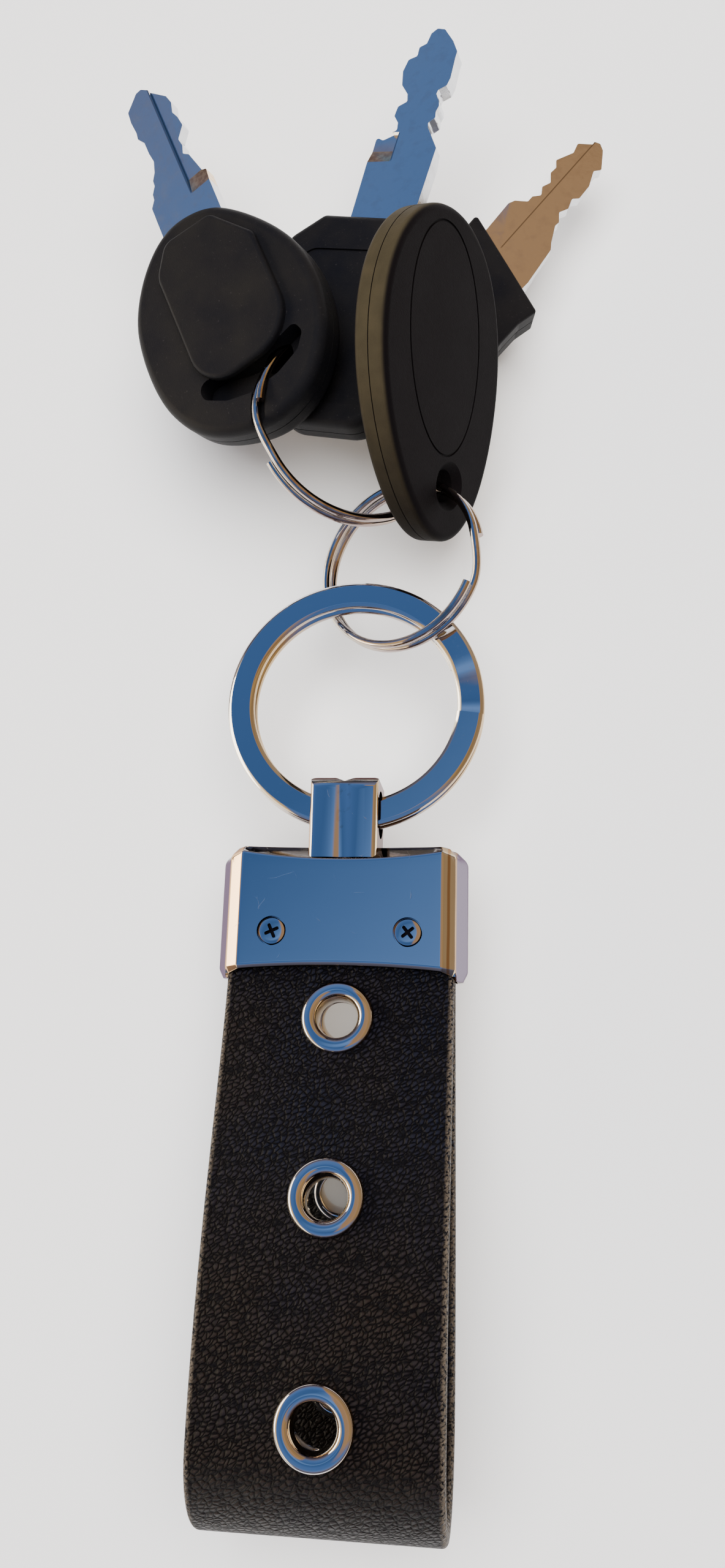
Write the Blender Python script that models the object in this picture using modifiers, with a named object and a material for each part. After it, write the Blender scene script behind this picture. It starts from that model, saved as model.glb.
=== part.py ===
"""A leather strap keychain with a chrome clamp, split rings, an oval access tag and three keys.

It lies face up: +X to the right, +Y from the strap towards the keys, +Z out of the front.
The origin is the middle of the clamp's flat back. Everything is in metres.
"""
import bpy
import bmesh
from math import ceil, cos, pi, radians, sin, sqrt, tan
from mathutils import Matrix, Vector

mm = 0.001

# Clearances between pieces that touch
seat_gap = 0.15 * mm
parting_gap = 0.12 * mm
overrun = 2.0 * mm
weld_distance = 0.002 * mm

# Strap, one ply folded back on itself
strap_width = 25.0 * mm
strap_thickness = 1.8 * mm
strap_reach = 61.8 * mm
strap_opening = 18.8 * mm
strap_insert = 10.9 * mm
strap_edge_round = 0.45 * mm
strap_flare_share = 1.3
strap_steps = 20
fold_steps = 16

# Clamp, a cast cap that closes over both strap ends
clamp_side_wall = 1.15 * mm
clamp_height = 14.6 * mm
clamp_thickness = 7.5 * mm
clamp_chamfer = 2.7 * mm
clamp_chamfer_depth = 1.4 * mm
clamp_edge_round = 0.5 * mm
clamp_shoulder = 2.2 * mm
clamp_foot_round = 1.3 * mm
clamp_top_wall = 2.2 * mm
clamp_pinch = 0.8 * mm
clamp_side_clearance = 0.25 * mm
clamp_width = strap_width + 2 * (clamp_side_clearance + clamp_side_wall)

# Post, the staple on top of the clamp that holds the big ring
post_width = 7.7 * mm
post_thickness = 7.2 * mm
post_top_wall = 1.2 * mm
post_edge_round = 0.45 * mm
post_groove_width = 2.0 * mm
post_groove_depth = 0.55 * mm
post_hole_radius = 2.75 * mm

# Filler plate between the strap ends, and the two screws that go into it
filler_thickness = 0.8 * mm
filler_height = 9.6 * mm
screw_spacing_share = 0.6
screw_spacing = strap_width * screw_spacing_share
screw_drop = 2.3 * mm
screw_head_radius = 1.5 * mm
screw_head_height = 0.75 * mm
screw_head_crown = 0.12 * mm
screw_shank_radius = 0.9 * mm
screw_hole_clearance = 0.15 * mm
screw_recess_width = 0.42 * mm
screw_recess_reach = 0.95 * mm
screw_recess_depth = 0.5 * mm
screw_end_clearance = 0.3 * mm

# Eyelets and the washers that they are rolled over
eyelet_radius = 3.95 * mm
eyelet_throat = 2.15 * mm
eyelet_crown = 0.75 * mm
eyelet_wall = 0.3 * mm
eyelet_roll = 0.5 * mm
eyelet_clearance = 0.35 * mm
eyelet_middle_share = 0.472
eyelet_fold_distance = 2.4 * mm
eyelet_steps = 18
washer_radius = 3.2 * mm
washer_thickness = 0.35 * mm

# Split rings: each is two turns of strip or wire, with a crossover between them
turn_gap = 0.42 * mm
big_ring_outer = 30.2 * mm
big_ring_band = 3.2 * mm
big_ring_strip = 1.2 * mm
big_ring_x = 0.55 * mm
big_ring_hole_play = 0.2 * mm
big_cross_start = radians(22)
big_cross_turn = radians(28)
big_ring_steps = 44
wire_diameter = 1.0 * mm
wire_cross_turn = radians(35)
wire_ring_steps = 34
link_ring_outer = 21.5 * mm
link_ring_centre = Vector((5.6 * mm, 42.2 * mm, 4.6 * mm))
link_ring_tilt = radians(-25)
link_cross_start = radians(10)
key_ring_outer = 25.0 * mm
key_ring_centre = Vector((-0.7 * mm, 59.3 * mm, 7.25 * mm))
key_ring_tilt = radians(32)
key_cross_start = radians(215)
ring_passage_clearance = 0.3 * mm

# Oval tag, two shells glued round a sealed coil and chip
tag_length = 37.2 * mm
tag_width = 24.3 * mm
tag_thickness = 4.4 * mm
tag_edge_round = 1.0 * mm
tag_taper_share = 0.16
tag_eye_radius = 1.95 * mm
tag_eye_inset = 6.5 * mm
tag_eye_angle = radians(67)
tag_eye_shift = 0.35 * mm
tag_face_direction = Vector((0.87, -0.28, 0.41))
tag_long_direction = Vector((0.0, 0.827, 0.562))
tag_coil_outer = 18.0 * mm
tag_coil_inner = 15.0 * mm
tag_coil_depth = 1.4 * mm
tag_coil_offset = 3.0 * mm
tag_chip_side = 4.0 * mm
tag_steps = 44

# Key heads, blades and transponder pills
head_edge_share = 0.27
blade_thickness = 2.0 * mm
blade_width = 8.8 * mm
tang_length = 11.0 * mm
tang_width = 6.4 * mm
blade_root_depth = 2.6 * mm
blade_groove_width = 2.0 * mm
blade_groove_depth = 0.45 * mm
eye_radius = 2.0 * mm
pill_radius = 1.1 * mm
pill_length = 9.0 * mm
pill_offset = 5.0 * mm
left_head_width = 23.8 * mm
left_head_thickness = 5.0 * mm
left_head_length = 31.0 * mm
left_head_egg_share = 0.08
left_blade_length = 23.7 * mm
left_ring_angle = radians(145)
left_ring_mark = Vector((3.15 * mm, -6.7 * mm, 0.1 * mm))
left_face_direction = Vector((-0.35, -0.15, 0.925))
left_long_direction = Vector((-0.39, 0.92, 0.0))
cover_width = 14.4 * mm
cover_rise = 0.9 * mm
cover_foot = 7.0 * mm
cover_corner = 4.6 * mm
kidney_radius = 8.35 * mm
kidney_width = 2.7 * mm
kidney_half_angle = radians(54)
middle_head_length = 27.0 * mm
middle_head_thickness = 4.6 * mm
middle_head_width = 22.0 * mm
middle_collar_width = 12.5 * mm
middle_foot_share = 0.4
middle_hip_share = 0.38
middle_shoulder_share = 0.62
middle_blade_length = 28.8 * mm
middle_ring_angle = radians(99)
middle_eye_shift = 2.3 * mm
middle_ring_mark = Vector((-0.95 * mm, -2.3 * mm, 0.3 * mm))
middle_face_direction = Vector((-0.25, 0.0, 0.97))
middle_long_direction = Vector((0.277, 0.961, 0.0))
right_head_length = 26.0 * mm
right_head_width = 15.0 * mm
right_head_thickness = 4.2 * mm
right_collar_width = 12.0 * mm
right_waist_width = 11.4 * mm
right_collar_slant = 1.9 * mm
right_neck_share = 0.68
right_waist_share = 0.5
right_blade_length = 22.0 * mm
right_ring_angle = radians(58)
right_ring_mark = Vector((-0.55 * mm, -8.2 * mm, 1.4 * mm))
right_face_direction = Vector((0.16, -0.06, 0.98))
right_long_direction = Vector((0.61, 0.79, 0.0))

# Places along a blade's edge, as shares of its length, with the cut's depth as a share of its width
left_edge_cut_shares = (
    (0.46, 0.0), (0.50, 0.26), (0.62, 0.27), (0.66, 0.17), (0.74, 0.16), (0.78, 0.20), (0.90, 0.19),
)
right_edge_cut_shares = (
    (0.35, 0.0), (0.38, 0.08), (0.49, 0.22), (0.50, 0.27), (0.55, 0.25), (0.61, 0.26), (0.68, 0.11),
    (0.76, 0.12), (0.79, 0.20), (0.84, 0.14), (0.91, 0.15),
)
blade_tip_shares = ((0.97, 0.30), (1.0, 0.42))

# Worked out from the sizes above
clamp_middle = clamp_thickness / 2
clamp_top = clamp_height / 2
ply_height = filler_thickness / 2 + seat_gap + strap_thickness / 2
cavity_height = 2 * (ply_height + strap_thickness / 2 + seat_gap)
cavity_width = strap_width + 2 * clamp_side_clearance
cavity_top = clamp_top - clamp_top_wall
screw_hole_radius = screw_shank_radius + screw_hole_clearance
front_wall_back = clamp_middle + cavity_height / 2
big_ring_depth = 2 * big_ring_strip + turn_gap
big_ring_middle = (big_ring_outer - big_ring_band) / 2
post_hole_y = clamp_top + post_hole_radius + 2.0 * seat_gap + post_top_wall
big_ring_y = post_hole_y + big_ring_middle - big_ring_hole_play
post_top = post_hole_y + post_hole_radius + post_top_wall
wire_pitch = wire_diameter + turn_gap
fold_radius = (strap_opening - strap_thickness) / 2
fold_y = -(strap_reach - strap_opening / 2)
strap_exit_y = -clamp_top
first_eyelet = clamp_top + eyelet_radius + eyelet_clearance
last_eyelet = -fold_y - eyelet_fold_distance
middle_eyelet = first_eyelet + (last_eyelet - first_eyelet) * eyelet_middle_share
eyelet_places = (first_eyelet, middle_eyelet, last_eyelet)


def new_collection(name):
    group = bpy.data.collections.new(name)
    bpy.context.scene.collection.children.link(group)
    return group


def clear_scene():
    for old in list(bpy.data.objects):
        bpy.data.objects.remove(old, do_unlink=True)


clear_scene()
parts = new_collection("leather_keychain")
cutters = new_collection("cutters")


def principled(name, colour, roughness, metallic):
    material = bpy.data.materials.new(name)
    material.use_nodes = True
    shader = material.node_tree.nodes["Principled BSDF"]
    shader.inputs["Base Color"].default_value = (*colour, 1.0)
    shader.inputs["Roughness"].default_value = roughness
    shader.inputs["Metallic"].default_value = metallic
    material.diffuse_color = (*colour, 1.0)
    return material


def finish_mesh(name, shape, material, group=parts):
    """Turn a bmesh into a named object, with smooth shading on its round stretches."""
    bmesh.ops.remove_doubles(shape, verts=shape.verts, dist=weld_distance)
    bmesh.ops.recalc_face_normals(shape, faces=shape.faces)
    mesh = bpy.data.meshes.new(name)
    shape.to_mesh(mesh)
    shape.free()
    mesh.shade_smooth()
    mesh.set_sharp_from_angle(angle=radians(35))
    mesh.materials.append(material)
    made = bpy.data.objects.new(name, mesh)
    group.objects.link(made)
    return made


def make_cutter(name, shape):
    made = finish_mesh(name, shape, cutter_material, cutters)
    made.hide_render = True
    made.display_type = "WIRE"
    return made


def cut(target, cutter, operation="DIFFERENCE"):
    modifier = target.modifiers.new(cutter.name, "BOOLEAN")
    modifier.operation = operation
    modifier.solver = "EXACT"
    modifier.object = cutter


def prism(outline, low, high, place=Matrix.Identity(4)):
    """A flat outline in X and Y, raised from low to high in Z, then placed."""
    shape = bmesh.new()
    ring = [shape.verts.new((x, y, low)) for x, y in outline]
    floor = shape.faces.new(ring)
    raised = bmesh.ops.extrude_face_region(shape, geom=[floor])["geom"]
    moved = [item for item in raised if isinstance(item, bmesh.types.BMVert)]
    bmesh.ops.translate(shape, verts=moved, vec=(0, 0, high - low))
    bmesh.ops.transform(shape, matrix=place, verts=shape.verts)
    return shape


def box(low, high, place=Matrix.Identity(4)):
    outline = ((low[0], low[1]), (high[0], low[1]), (high[0], high[1]), (low[0], high[1]))
    return prism(outline, low[2], high[2], place)


def cylinder(radius, low, high, steps, place=Matrix.Identity(4)):
    outline = [(radius * cos(2 * pi * i / steps), radius * sin(2 * pi * i / steps)) for i in range(steps)]
    return prism(outline, low, high, place)


def rounded(corners, radii, steps=4):
    """An outline with each corner replaced by an arc of its own radius."""
    outline = []
    count = len(corners)
    for index, radius in enumerate(radii):
        here = Vector(corners[index])
        back = (Vector(corners[index - 1]) - here).normalized()
        on = (Vector(corners[(index + 1) % count]) - here).normalized()
        if radius == 0:
            outline.append(tuple(here))
            continue
        half = back.angle(on) / 2
        centre = here + (back + on).normalized() * radius / sin(half)
        start = here + back * radius / tan(half) - centre
        end = here + on * radius / tan(half) - centre
        turn = start.angle_signed(end)
        for step in range(steps + 1):
            angle = -turn * step / steps
            outline.append((centre.x + start.x * cos(angle) - start.y * sin(angle),
                            centre.y + start.x * sin(angle) + start.y * cos(angle)))
    return outline


def egg(length, width, taper_share, steps, centre_y=0.0):
    """An oval along Y whose lower end, at -Y, is wider by the taper share, or narrower if it is negative."""
    outline = []
    for step in range(steps):
        angle = 2 * pi * step / steps
        swell = 1 - taper_share * sin(angle)
        outline.append((width / 2 * cos(angle) * swell, centre_y + length / 2 * sin(angle)))
    return outline


def soften_top(shape, height, radius, segments=3):
    """Round the outer edge of a shell's show face."""
    edges = [edge for edge in shape.edges
             if all(abs(vert.co.z - height) < weld_distance for vert in edge.verts)]
    bmesh.ops.bevel(shape, geom=edges, offset=radius, offset_type="OFFSET", segments=segments,
                    profile=0.5, affect="EDGES", clamp_overlap=True, material=-1)


def turned(name, profile, steps, material, closed):
    """A Screw modifier turns a profile at +X, given top to bottom on its outer side, about Z."""
    mesh = bpy.data.meshes.new(name)
    edges = [(i, i + 1) for i in range(len(profile) - 1)]
    if closed:
        edges.append((len(profile) - 1, 0))
    mesh.from_pydata([(radius, 0, height) for radius, height in profile], edges, [])
    mesh.materials.append(material)
    made = bpy.data.objects.new(name, mesh)
    parts.objects.link(made)
    screw = made.modifiers.new("turn", "SCREW")
    screw.angle = 2 * pi
    screw.steps = steps
    screw.render_steps = steps
    screw.use_merge_vertices = True
    screw.merge_threshold = weld_distance
    screw.use_smooth_shade = True
    return made


def facing(face, along, place):
    """The matrix of a piece whose +Z shows and whose +Y runs along, at a place."""
    up = face.normalized()
    forward = (along - up * along.dot(up)).normalized()
    side = forward.cross(up)
    turn = Matrix((side, forward, up)).transposed().to_4x4()
    return Matrix.Translation(place) @ turn


def pivot(name, place):
    empty = bpy.data.objects.new(name, None)
    parts.objects.link(empty)
    empty.matrix_world = place
    return empty


def hold(piece, empty):
    piece.parent = empty


# Strap: centreline, plies and the places along them

def ply_rise(y):
    """How far a ply's middle stands from the clamp's middle plane."""
    if y >= strap_exit_y:
        return ply_height
    share = min((strap_exit_y - y) / (strap_exit_y - fold_y), 1.0)
    return ply_height + (fold_radius - ply_height) * sin(pi / 2 * share) ** strap_flare_share


def strap_route():
    front = [(strap_exit_y + strap_insert, ply_height), (strap_exit_y, ply_height)]
    for step in range(1, strap_steps + 1):
        y = strap_exit_y + (fold_y - strap_exit_y) * step / strap_steps
        front.append((y, ply_rise(y)))
    bend = []
    for step in range(1, fold_steps):
        angle = pi * step / fold_steps
        bend.append((fold_y - fold_radius * sin(angle), fold_radius * cos(angle)))
    rear = [(y, -rise) for y, rise in reversed(front)]
    return front + bend + rear


def ply_frame(y, side):
    """The frame on a ply's show face: +Z out of the leather, at a place along the strap."""
    slope = (ply_rise(y + seat_gap) - ply_rise(y - seat_gap)) / (2 * seat_gap)
    out = Vector((0, -slope, 1)).normalized()
    middle = Vector((0, y, ply_rise(y)))
    face = middle + out * strap_thickness / 2
    mirrored = Vector((1, 1, side))
    return facing(out * mirrored, Vector((0, 1, 0)), face * mirrored + Vector((0, 0, clamp_middle)))


def make_strap():
    shape = bmesh.new()
    verts = [shape.verts.new((-strap_width / 2, y, clamp_middle + rise)) for y, rise in strap_route()]
    edges = [shape.edges.new(pair) for pair in zip(verts, verts[1:])]
    swept = bmesh.ops.extrude_edge_only(shape, edges=edges)["geom"]
    moved = [item for item in swept if isinstance(item, bmesh.types.BMVert)]
    bmesh.ops.translate(shape, verts=moved, vec=(strap_width, 0, 0))
    strap = finish_mesh("strap", shape, leather)
    wall = strap.modifiers.new("ply", "SOLIDIFY")
    wall.thickness = strap_thickness
    wall.offset = 0
    wall.use_even_offset = True
    edge = strap.modifiers.new("edges", "BEVEL")
    edge.width = strap_edge_round
    edge.segments = 2
    edge.limit_method = "ANGLE"
    edge.angle_limit = radians(50)
    for side in (1, -1):
        for number, place in enumerate(eyelet_places, start=1):
            hole = cylinder(eyelet_throat + eyelet_wall + seat_gap, -strap_thickness - overrun / 2,
                            overrun / 2, eyelet_steps, ply_frame(-place, side))
            cut(strap, make_cutter(f"strap_hole_{number}_{side}", hole))
    for side in (1, -1):
        at = Matrix.Translation((side * screw_spacing / 2, -screw_drop, 0))
        hole = cylinder(screw_hole_radius, -overrun, clamp_thickness + overrun, 12, at)
        cut(strap, make_cutter(f"strap_screw_hole_{side}", hole))
    return strap


def eyelet_profile(washer_space):
    """Round the eyelet's section: crown, flange, barrel and the roll inside the loop."""
    flange = seat_gap
    roll_top = -strap_thickness - seat_gap - washer_space
    roll_low = roll_top - eyelet_wall
    barrel = eyelet_throat + eyelet_wall
    crown_middle = (eyelet_radius + eyelet_throat) / 2
    return [
        (crown_middle, eyelet_crown),
        (eyelet_radius - eyelet_wall, eyelet_crown * 0.78),
        (eyelet_radius, eyelet_crown / 2),
        (eyelet_radius, flange),
        (barrel, flange),
        (barrel, roll_top),
        (barrel + eyelet_roll, roll_top),
        (barrel + eyelet_roll, roll_low),
        (eyelet_throat + eyelet_wall / 2, roll_low),
        (eyelet_throat, roll_low + eyelet_wall / 2),
        (eyelet_throat, eyelet_crown * 0.2),
        (eyelet_throat + eyelet_wall, eyelet_crown * 0.8),
    ]


def make_eyelets():
    washer_inner = eyelet_throat + eyelet_wall + seat_gap
    washer_top = -strap_thickness - seat_gap
    section = [(washer_radius, washer_top), (washer_radius, washer_top - washer_thickness),
               (washer_inner, washer_top - washer_thickness), (washer_inner, washer_top)]
    for word, side in (("front", 1), ("rear", -1)):
        for number, place in enumerate(eyelet_places, start=1):
            frame = ply_frame(-place, side)
            # The plies are too close together at the first eyelets for washers
            washer_space = 0 if number == 1 else washer_thickness + seat_gap
            eyelet_section = eyelet_profile(washer_space)
            eyelet = turned(f"{word}_eyelet_{number}", eyelet_section, eyelet_steps, chrome, True)
            eyelet.matrix_world = frame
            if number == 1:
                continue
            washer = turned(f"{word}_washer_{number}", section, eyelet_steps, chrome, True)
            washer.matrix_world = frame


# Clamp, screws and filler plate

def clamp_plan():
    half = clamp_width / 2
    corners = [(-half, -clamp_top), (half, -clamp_top), (half, clamp_top), (-half, clamp_top)]
    return rounded(corners, [clamp_foot_round, clamp_foot_round, clamp_shoulder, clamp_shoulder])


def pinch_outline():
    """A shallow arc that dips into the clamp's long edges between its corners."""
    reach = clamp_width / 2 - clamp_chamfer - clamp_edge_round
    dip = clamp_pinch * sqrt(0.5)
    arc = []
    for step in range(-5, 6):
        share = step / 4
        arc.append((reach * share, dip * (share * share - 1)))
    return arc + [(arc[-1][0], overrun), (arc[0][0], overrun)]


def make_clamp():
    half = clamp_width / 2
    flat, low_side = half - clamp_chamfer, clamp_chamfer_depth
    high_side = clamp_thickness - clamp_chamfer_depth
    section = [(-flat, 0), (flat, 0), (half, low_side), (half, high_side), (flat, clamp_thickness),
               (-flat, clamp_thickness), (-half, high_side), (-half, low_side)]
    upright = Matrix.Rotation(radians(90), 4, "X")
    low, high = -clamp_top - overrun, clamp_top + overrun
    shell = finish_mesh("clamp_shell", prism(section, low, high, upright), chrome)
    plan = prism(clamp_plan(), -overrun, clamp_thickness + overrun)
    cut(shell, make_cutter("clamp_plan", plan), "INTERSECT")
    for end in (1, -1):
        edge = Vector((0, end * clamp_top, clamp_thickness))
        place = facing(Vector((0, -end, 1)), Vector((0, end, 1)), edge)
        pinch = prism(pinch_outline(), -clamp_thickness, clamp_thickness, place)
        cut(shell, make_cutter(f"clamp_pinch_{end}", pinch))
    post_low = (clamp_thickness - post_thickness) / 2
    post = box((-post_width / 2, cavity_top + clamp_top_wall / 2, post_low),
               (post_width / 2, post_top, post_low + post_thickness))
    bmesh.ops.bevel(post, geom=post.edges, offset=post_edge_round, segments=2, profile=0.5,
                    affect="EDGES", material=-1)
    cut(shell, make_cutter("clamp_post", post), "UNION")
    cavity = box((-cavity_width / 2, low, clamp_middle - cavity_height / 2),
                 (cavity_width / 2, cavity_top, clamp_middle + cavity_height / 2))
    cut(shell, make_cutter("clamp_cavity", cavity))
    for front in (1, -1):
        face = clamp_middle + front * post_thickness / 2
        groove = [(-post_groove_width / 2, face), (0, face - front * post_groove_depth),
                  (post_groove_width / 2, face), (post_groove_width / 2, face + front * overrun),
                  (-post_groove_width / 2, face + front * overrun)]
        rise = Matrix(((1, 0, 0, 0), (0, 0, 1, 0), (0, 1, 0, 0), (0, 0, 0, 1)))
        cutter = prism(groove, clamp_top + seat_gap, post_top + overrun, rise)
        cut(shell, make_cutter(f"post_groove_{front}", cutter))
    across = Matrix.Translation((0, post_hole_y, clamp_middle)) @ Matrix.Rotation(radians(90), 4, "Y")
    hole = cylinder(post_hole_radius, -post_width, post_width, 20, across)
    cut(shell, make_cutter("post_hole", hole))
    for side in (1, -1):
        at = Matrix.Translation((side * screw_spacing / 2, -screw_drop, 0))
        shank = cylinder(screw_hole_radius, clamp_middle, clamp_thickness + overrun, 16, at)
        cut(shell, make_cutter(f"screw_hole_{side}", shank))
        seat_low = clamp_thickness - screw_head_height - seat_gap
        seat = cylinder(screw_head_radius + screw_hole_clearance, seat_low, clamp_thickness + overrun, 20, at)
        cut(shell, make_cutter(f"screw_seat_{side}", seat))
    return shell


def make_screws():
    head_low = clamp_thickness - screw_head_height
    end = screw_end_clearance + clamp_middle - cavity_height / 2
    rim = clamp_thickness - screw_head_crown
    profile = [(0, clamp_thickness), (screw_head_radius * 0.6, clamp_thickness - screw_head_crown / 3),
               (screw_head_radius, rim), (screw_head_radius, head_low), (screw_shank_radius, head_low),
               (screw_shank_radius, end), (0, end)]
    for word, side in (("left", -1), ("right", 1)):
        screw = turned(f"clamp_screw_{word}", profile, 18, chrome, False)
        screw.location = (side * screw_spacing / 2, -screw_drop, 0)
        for number, turn in enumerate((radians(20), radians(110))):
            low = clamp_thickness - screw_recess_depth
            at = Matrix.Translation(screw.location) @ Matrix.Rotation(turn, 4, "Z")
            slot = box((-screw_recess_reach, -screw_recess_width / 2, low),
                       (screw_recess_reach, screw_recess_width / 2, clamp_thickness + overrun), at)
            cut(screw, make_cutter(f"screw_recess_{word}_{number}", slot))


def make_filler():
    high = strap_exit_y + strap_insert
    shape = box((-strap_width / 2, high - filler_height, clamp_middle - filler_thickness / 2),
                (strap_width / 2, high, clamp_middle + filler_thickness / 2))
    filler = finish_mesh("clamp_filler_plate", shape, steel)
    for side in (1, -1):
        at = Matrix.Translation((side * screw_spacing / 2, -screw_drop, clamp_middle))
        hole = cylinder(screw_hole_radius, -filler_thickness, filler_thickness, 12, at)
        cut(filler, make_cutter(f"filler_hole_{side}", hole))


# Split rings

def two_turn_path(radius, pitch, cross_start, cross_turn, steps):
    """Clockwise from the crossover's foot round the upper turn, down through it, and round the lower turn."""
    start = cross_start - cross_turn
    whole = 2 * pi - cross_turn
    total = 2 * whole + cross_turn
    count = ceil(steps * total / (2 * pi))
    path = []
    for step in range(count + 1):
        gone = total * step / count
        share = min(max((gone - whole) / cross_turn, 0.0), 1.0)
        height = pitch / 2 * cos(pi * share)
        angle = start - gone
        path.append(Vector((radius * cos(angle), radius * sin(angle), height)))
    return path


def least_turn_gap(path, thickness, steps):
    """The least distance between points a whole turn apart or nearly so, less the strip's thickness."""
    far = int(steps * 0.8)
    nearest = min((a - b).length for i, a in enumerate(path) for b in path[i + far:])
    return nearest - thickness


def ring_curve(name, path, material, frame):
    curve = bpy.data.curves.new(name, "CURVE")
    curve.dimensions = "3D"
    curve.twist_mode = "Z_UP"
    curve.use_fill_caps = True
    line = curve.splines.new("POLY")
    line.points.add(len(path) - 1)
    for point, place in zip(line.points, path):
        point.co = (*place, 1)
    curve.materials.append(material)
    made = bpy.data.objects.new(name, curve)
    parts.objects.link(made)
    made.matrix_world = frame
    return made


def make_big_ring():
    pitch = big_ring_strip + turn_gap
    path = two_turn_path(big_ring_middle, pitch, big_cross_start, big_cross_turn, big_ring_steps)
    least = least_turn_gap(path, big_ring_strip, big_ring_steps)
    print("big_split_ring least gap to itself in mm", round(least / mm, 3))
    frame = Matrix.Translation((big_ring_x, big_ring_y, clamp_middle))
    ring = ring_curve("big_split_ring", path, chrome, frame)
    section = bpy.data.curves.new("big_ring_section", "CURVE")
    section.dimensions = "2D"
    line = section.splines.new("POLY")
    line.points.add(3)
    half_band, half_strip = big_ring_band / 2, big_ring_strip / 2
    corners = ((-half_band, half_strip), (half_band, half_strip), (half_band, -half_strip),
               (-half_band, -half_strip))
    for point, (x, y) in zip(line.points, corners):
        point.co = (x, y, 0, 1)
    line.use_cyclic_u = True
    guide = bpy.data.objects.new("big_ring_section", section)
    cutters.objects.link(guide)
    guide.hide_render = True
    guide.display_type = "WIRE"
    ring.data.bevel_mode = "OBJECT"
    ring.data.bevel_object = guide
    return ring


def link_ring_frame():
    return Matrix.Translation(link_ring_centre) @ Matrix.Rotation(link_ring_tilt, 4, "Y")


def key_ring_frame():
    return Matrix.Translation(key_ring_centre) @ Matrix.Rotation(key_ring_tilt, 4, "Y")


def make_wire_ring(name, outer, cross_start, frame):
    radius = (outer - wire_diameter) / 2
    path = two_turn_path(radius, wire_pitch, cross_start, wire_cross_turn, wire_ring_steps)
    least = least_turn_gap(path, wire_diameter, wire_ring_steps)
    print(name, "least gap to itself in mm", round(least / mm, 3))
    ring = ring_curve(name, path, chrome, frame)
    ring.data.bevel_depth = wire_diameter / 2
    ring.data.bevel_resolution = 1
    return ring


def ring_passage(name, angle, frame, outer):
    """The space that a wire ring takes where it goes through a head, as a bent round bar."""
    radius = (outer - wire_diameter) / 2
    reach = wire_diameter / 2 + ring_passage_clearance
    half_height = wire_pitch / 2 + reach
    half = radians(48)
    shape = bmesh.new()
    start = Matrix.Rotation(angle - half, 4, "Z")
    ring = []
    for step in range(10):
        turn = 2 * pi * step / 10
        place = Vector((radius + reach * cos(turn), 0, half_height * sin(turn)))
        ring.append(shape.verts.new(start @ place))
    face = shape.faces.new(ring)
    bmesh.ops.spin(shape, geom=[face], cent=(0, 0, 0), axis=(0, 0, 1), dvec=(0, 0, 0),
                   angle=2 * half, steps=14, use_duplicate=False)
    bmesh.ops.transform(shape, matrix=frame, verts=shape.verts)
    return make_cutter(name, shape)


def ring_place(angle, frame, outer):
    radius = (outer - wire_diameter) / 2
    return frame @ Vector((radius * cos(angle), radius * sin(angle), 0))


# Oval tag

def make_tag():
    hole = ring_place(tag_eye_angle, link_ring_frame(), link_ring_outer)
    frame = facing(tag_face_direction, tag_long_direction, hole)
    frame = frame @ Matrix.Translation((0, 0, tag_eye_shift))
    swing = pivot("tag_pivot", frame)
    centre = tag_length / 2 - tag_eye_inset
    outline = egg(tag_length, tag_width, -tag_taper_share, tag_steps, centre)
    half_gap = parting_gap / 2
    eye = cylinder(tag_eye_radius, -tag_thickness, tag_thickness, 18, frame)
    eye_cutter = make_cutter("tag_eye", eye)
    coil_y = centre + tag_coil_offset
    at = frame @ Matrix.Translation((0, coil_y, 0))
    pocket = cylinder(tag_coil_outer / 2 + seat_gap, -tag_coil_depth / 2 - seat_gap,
                      tag_coil_depth / 2 + seat_gap, 24, at)
    pocket_cutter = make_cutter("tag_pocket", pocket)
    for word, side in (("front", 1), ("rear", -1)):
        shell = prism(outline, 0, tag_thickness / 2 - half_gap)
        soften_top(shell, tag_thickness / 2 - half_gap, tag_edge_round)
        lift = Matrix.Translation((0, 0, half_gap))
        flip = Matrix.Scale(side, 4, (0, 0, 1))
        bmesh.ops.transform(shell, matrix=flip @ lift, verts=shell.verts)
        made = finish_mesh(f"tag_{word}_shell", shell, matte_black)
        hold(made, swing)
        cut(made, eye_cutter)
        cut(made, pocket_cutter)
    coil = cylinder(tag_coil_outer / 2, -tag_coil_depth / 2, tag_coil_depth / 2, 24,
                    Matrix.Translation((0, coil_y, 0)))
    coil_object = finish_mesh("tag_coil", coil, copper)
    hold(coil_object, swing)
    core = cylinder(tag_coil_inner / 2, -tag_coil_depth, tag_coil_depth, 20, at)
    cut(coil_object, make_cutter("tag_coil_core", core))
    half_chip = tag_chip_side / 2
    half_depth = tag_coil_depth / 2
    chip = box((-half_chip, coil_y - half_chip, -half_depth), (half_chip, coil_y + half_chip, half_depth))
    hold(finish_mesh("tag_chip", chip, matte_black), swing)


# Keys

def blade_outline(length):
    """From the tang's end up the left edge to the tip and down the right edge."""
    half = blade_width / 2
    left = [(-tang_width / 2, -tang_length), (-tang_width / 2, -blade_root_depth), (-half, -blade_root_depth)]
    left += [(-half + blade_width * depth, length * along) for along, depth in left_edge_cut_shares]
    left += [(-half + blade_width * depth, length * along) for along, depth in blade_tip_shares]
    right = [(half - blade_width * depth, length * along) for along, depth in reversed(blade_tip_shares)]
    cuts = reversed(right_edge_cut_shares)
    right += [(half - blade_width * depth, length * along) for along, depth in cuts]
    right += [(half, -blade_root_depth), (tang_width / 2, -blade_root_depth), (tang_width / 2, -tang_length)]
    return left + right


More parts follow.
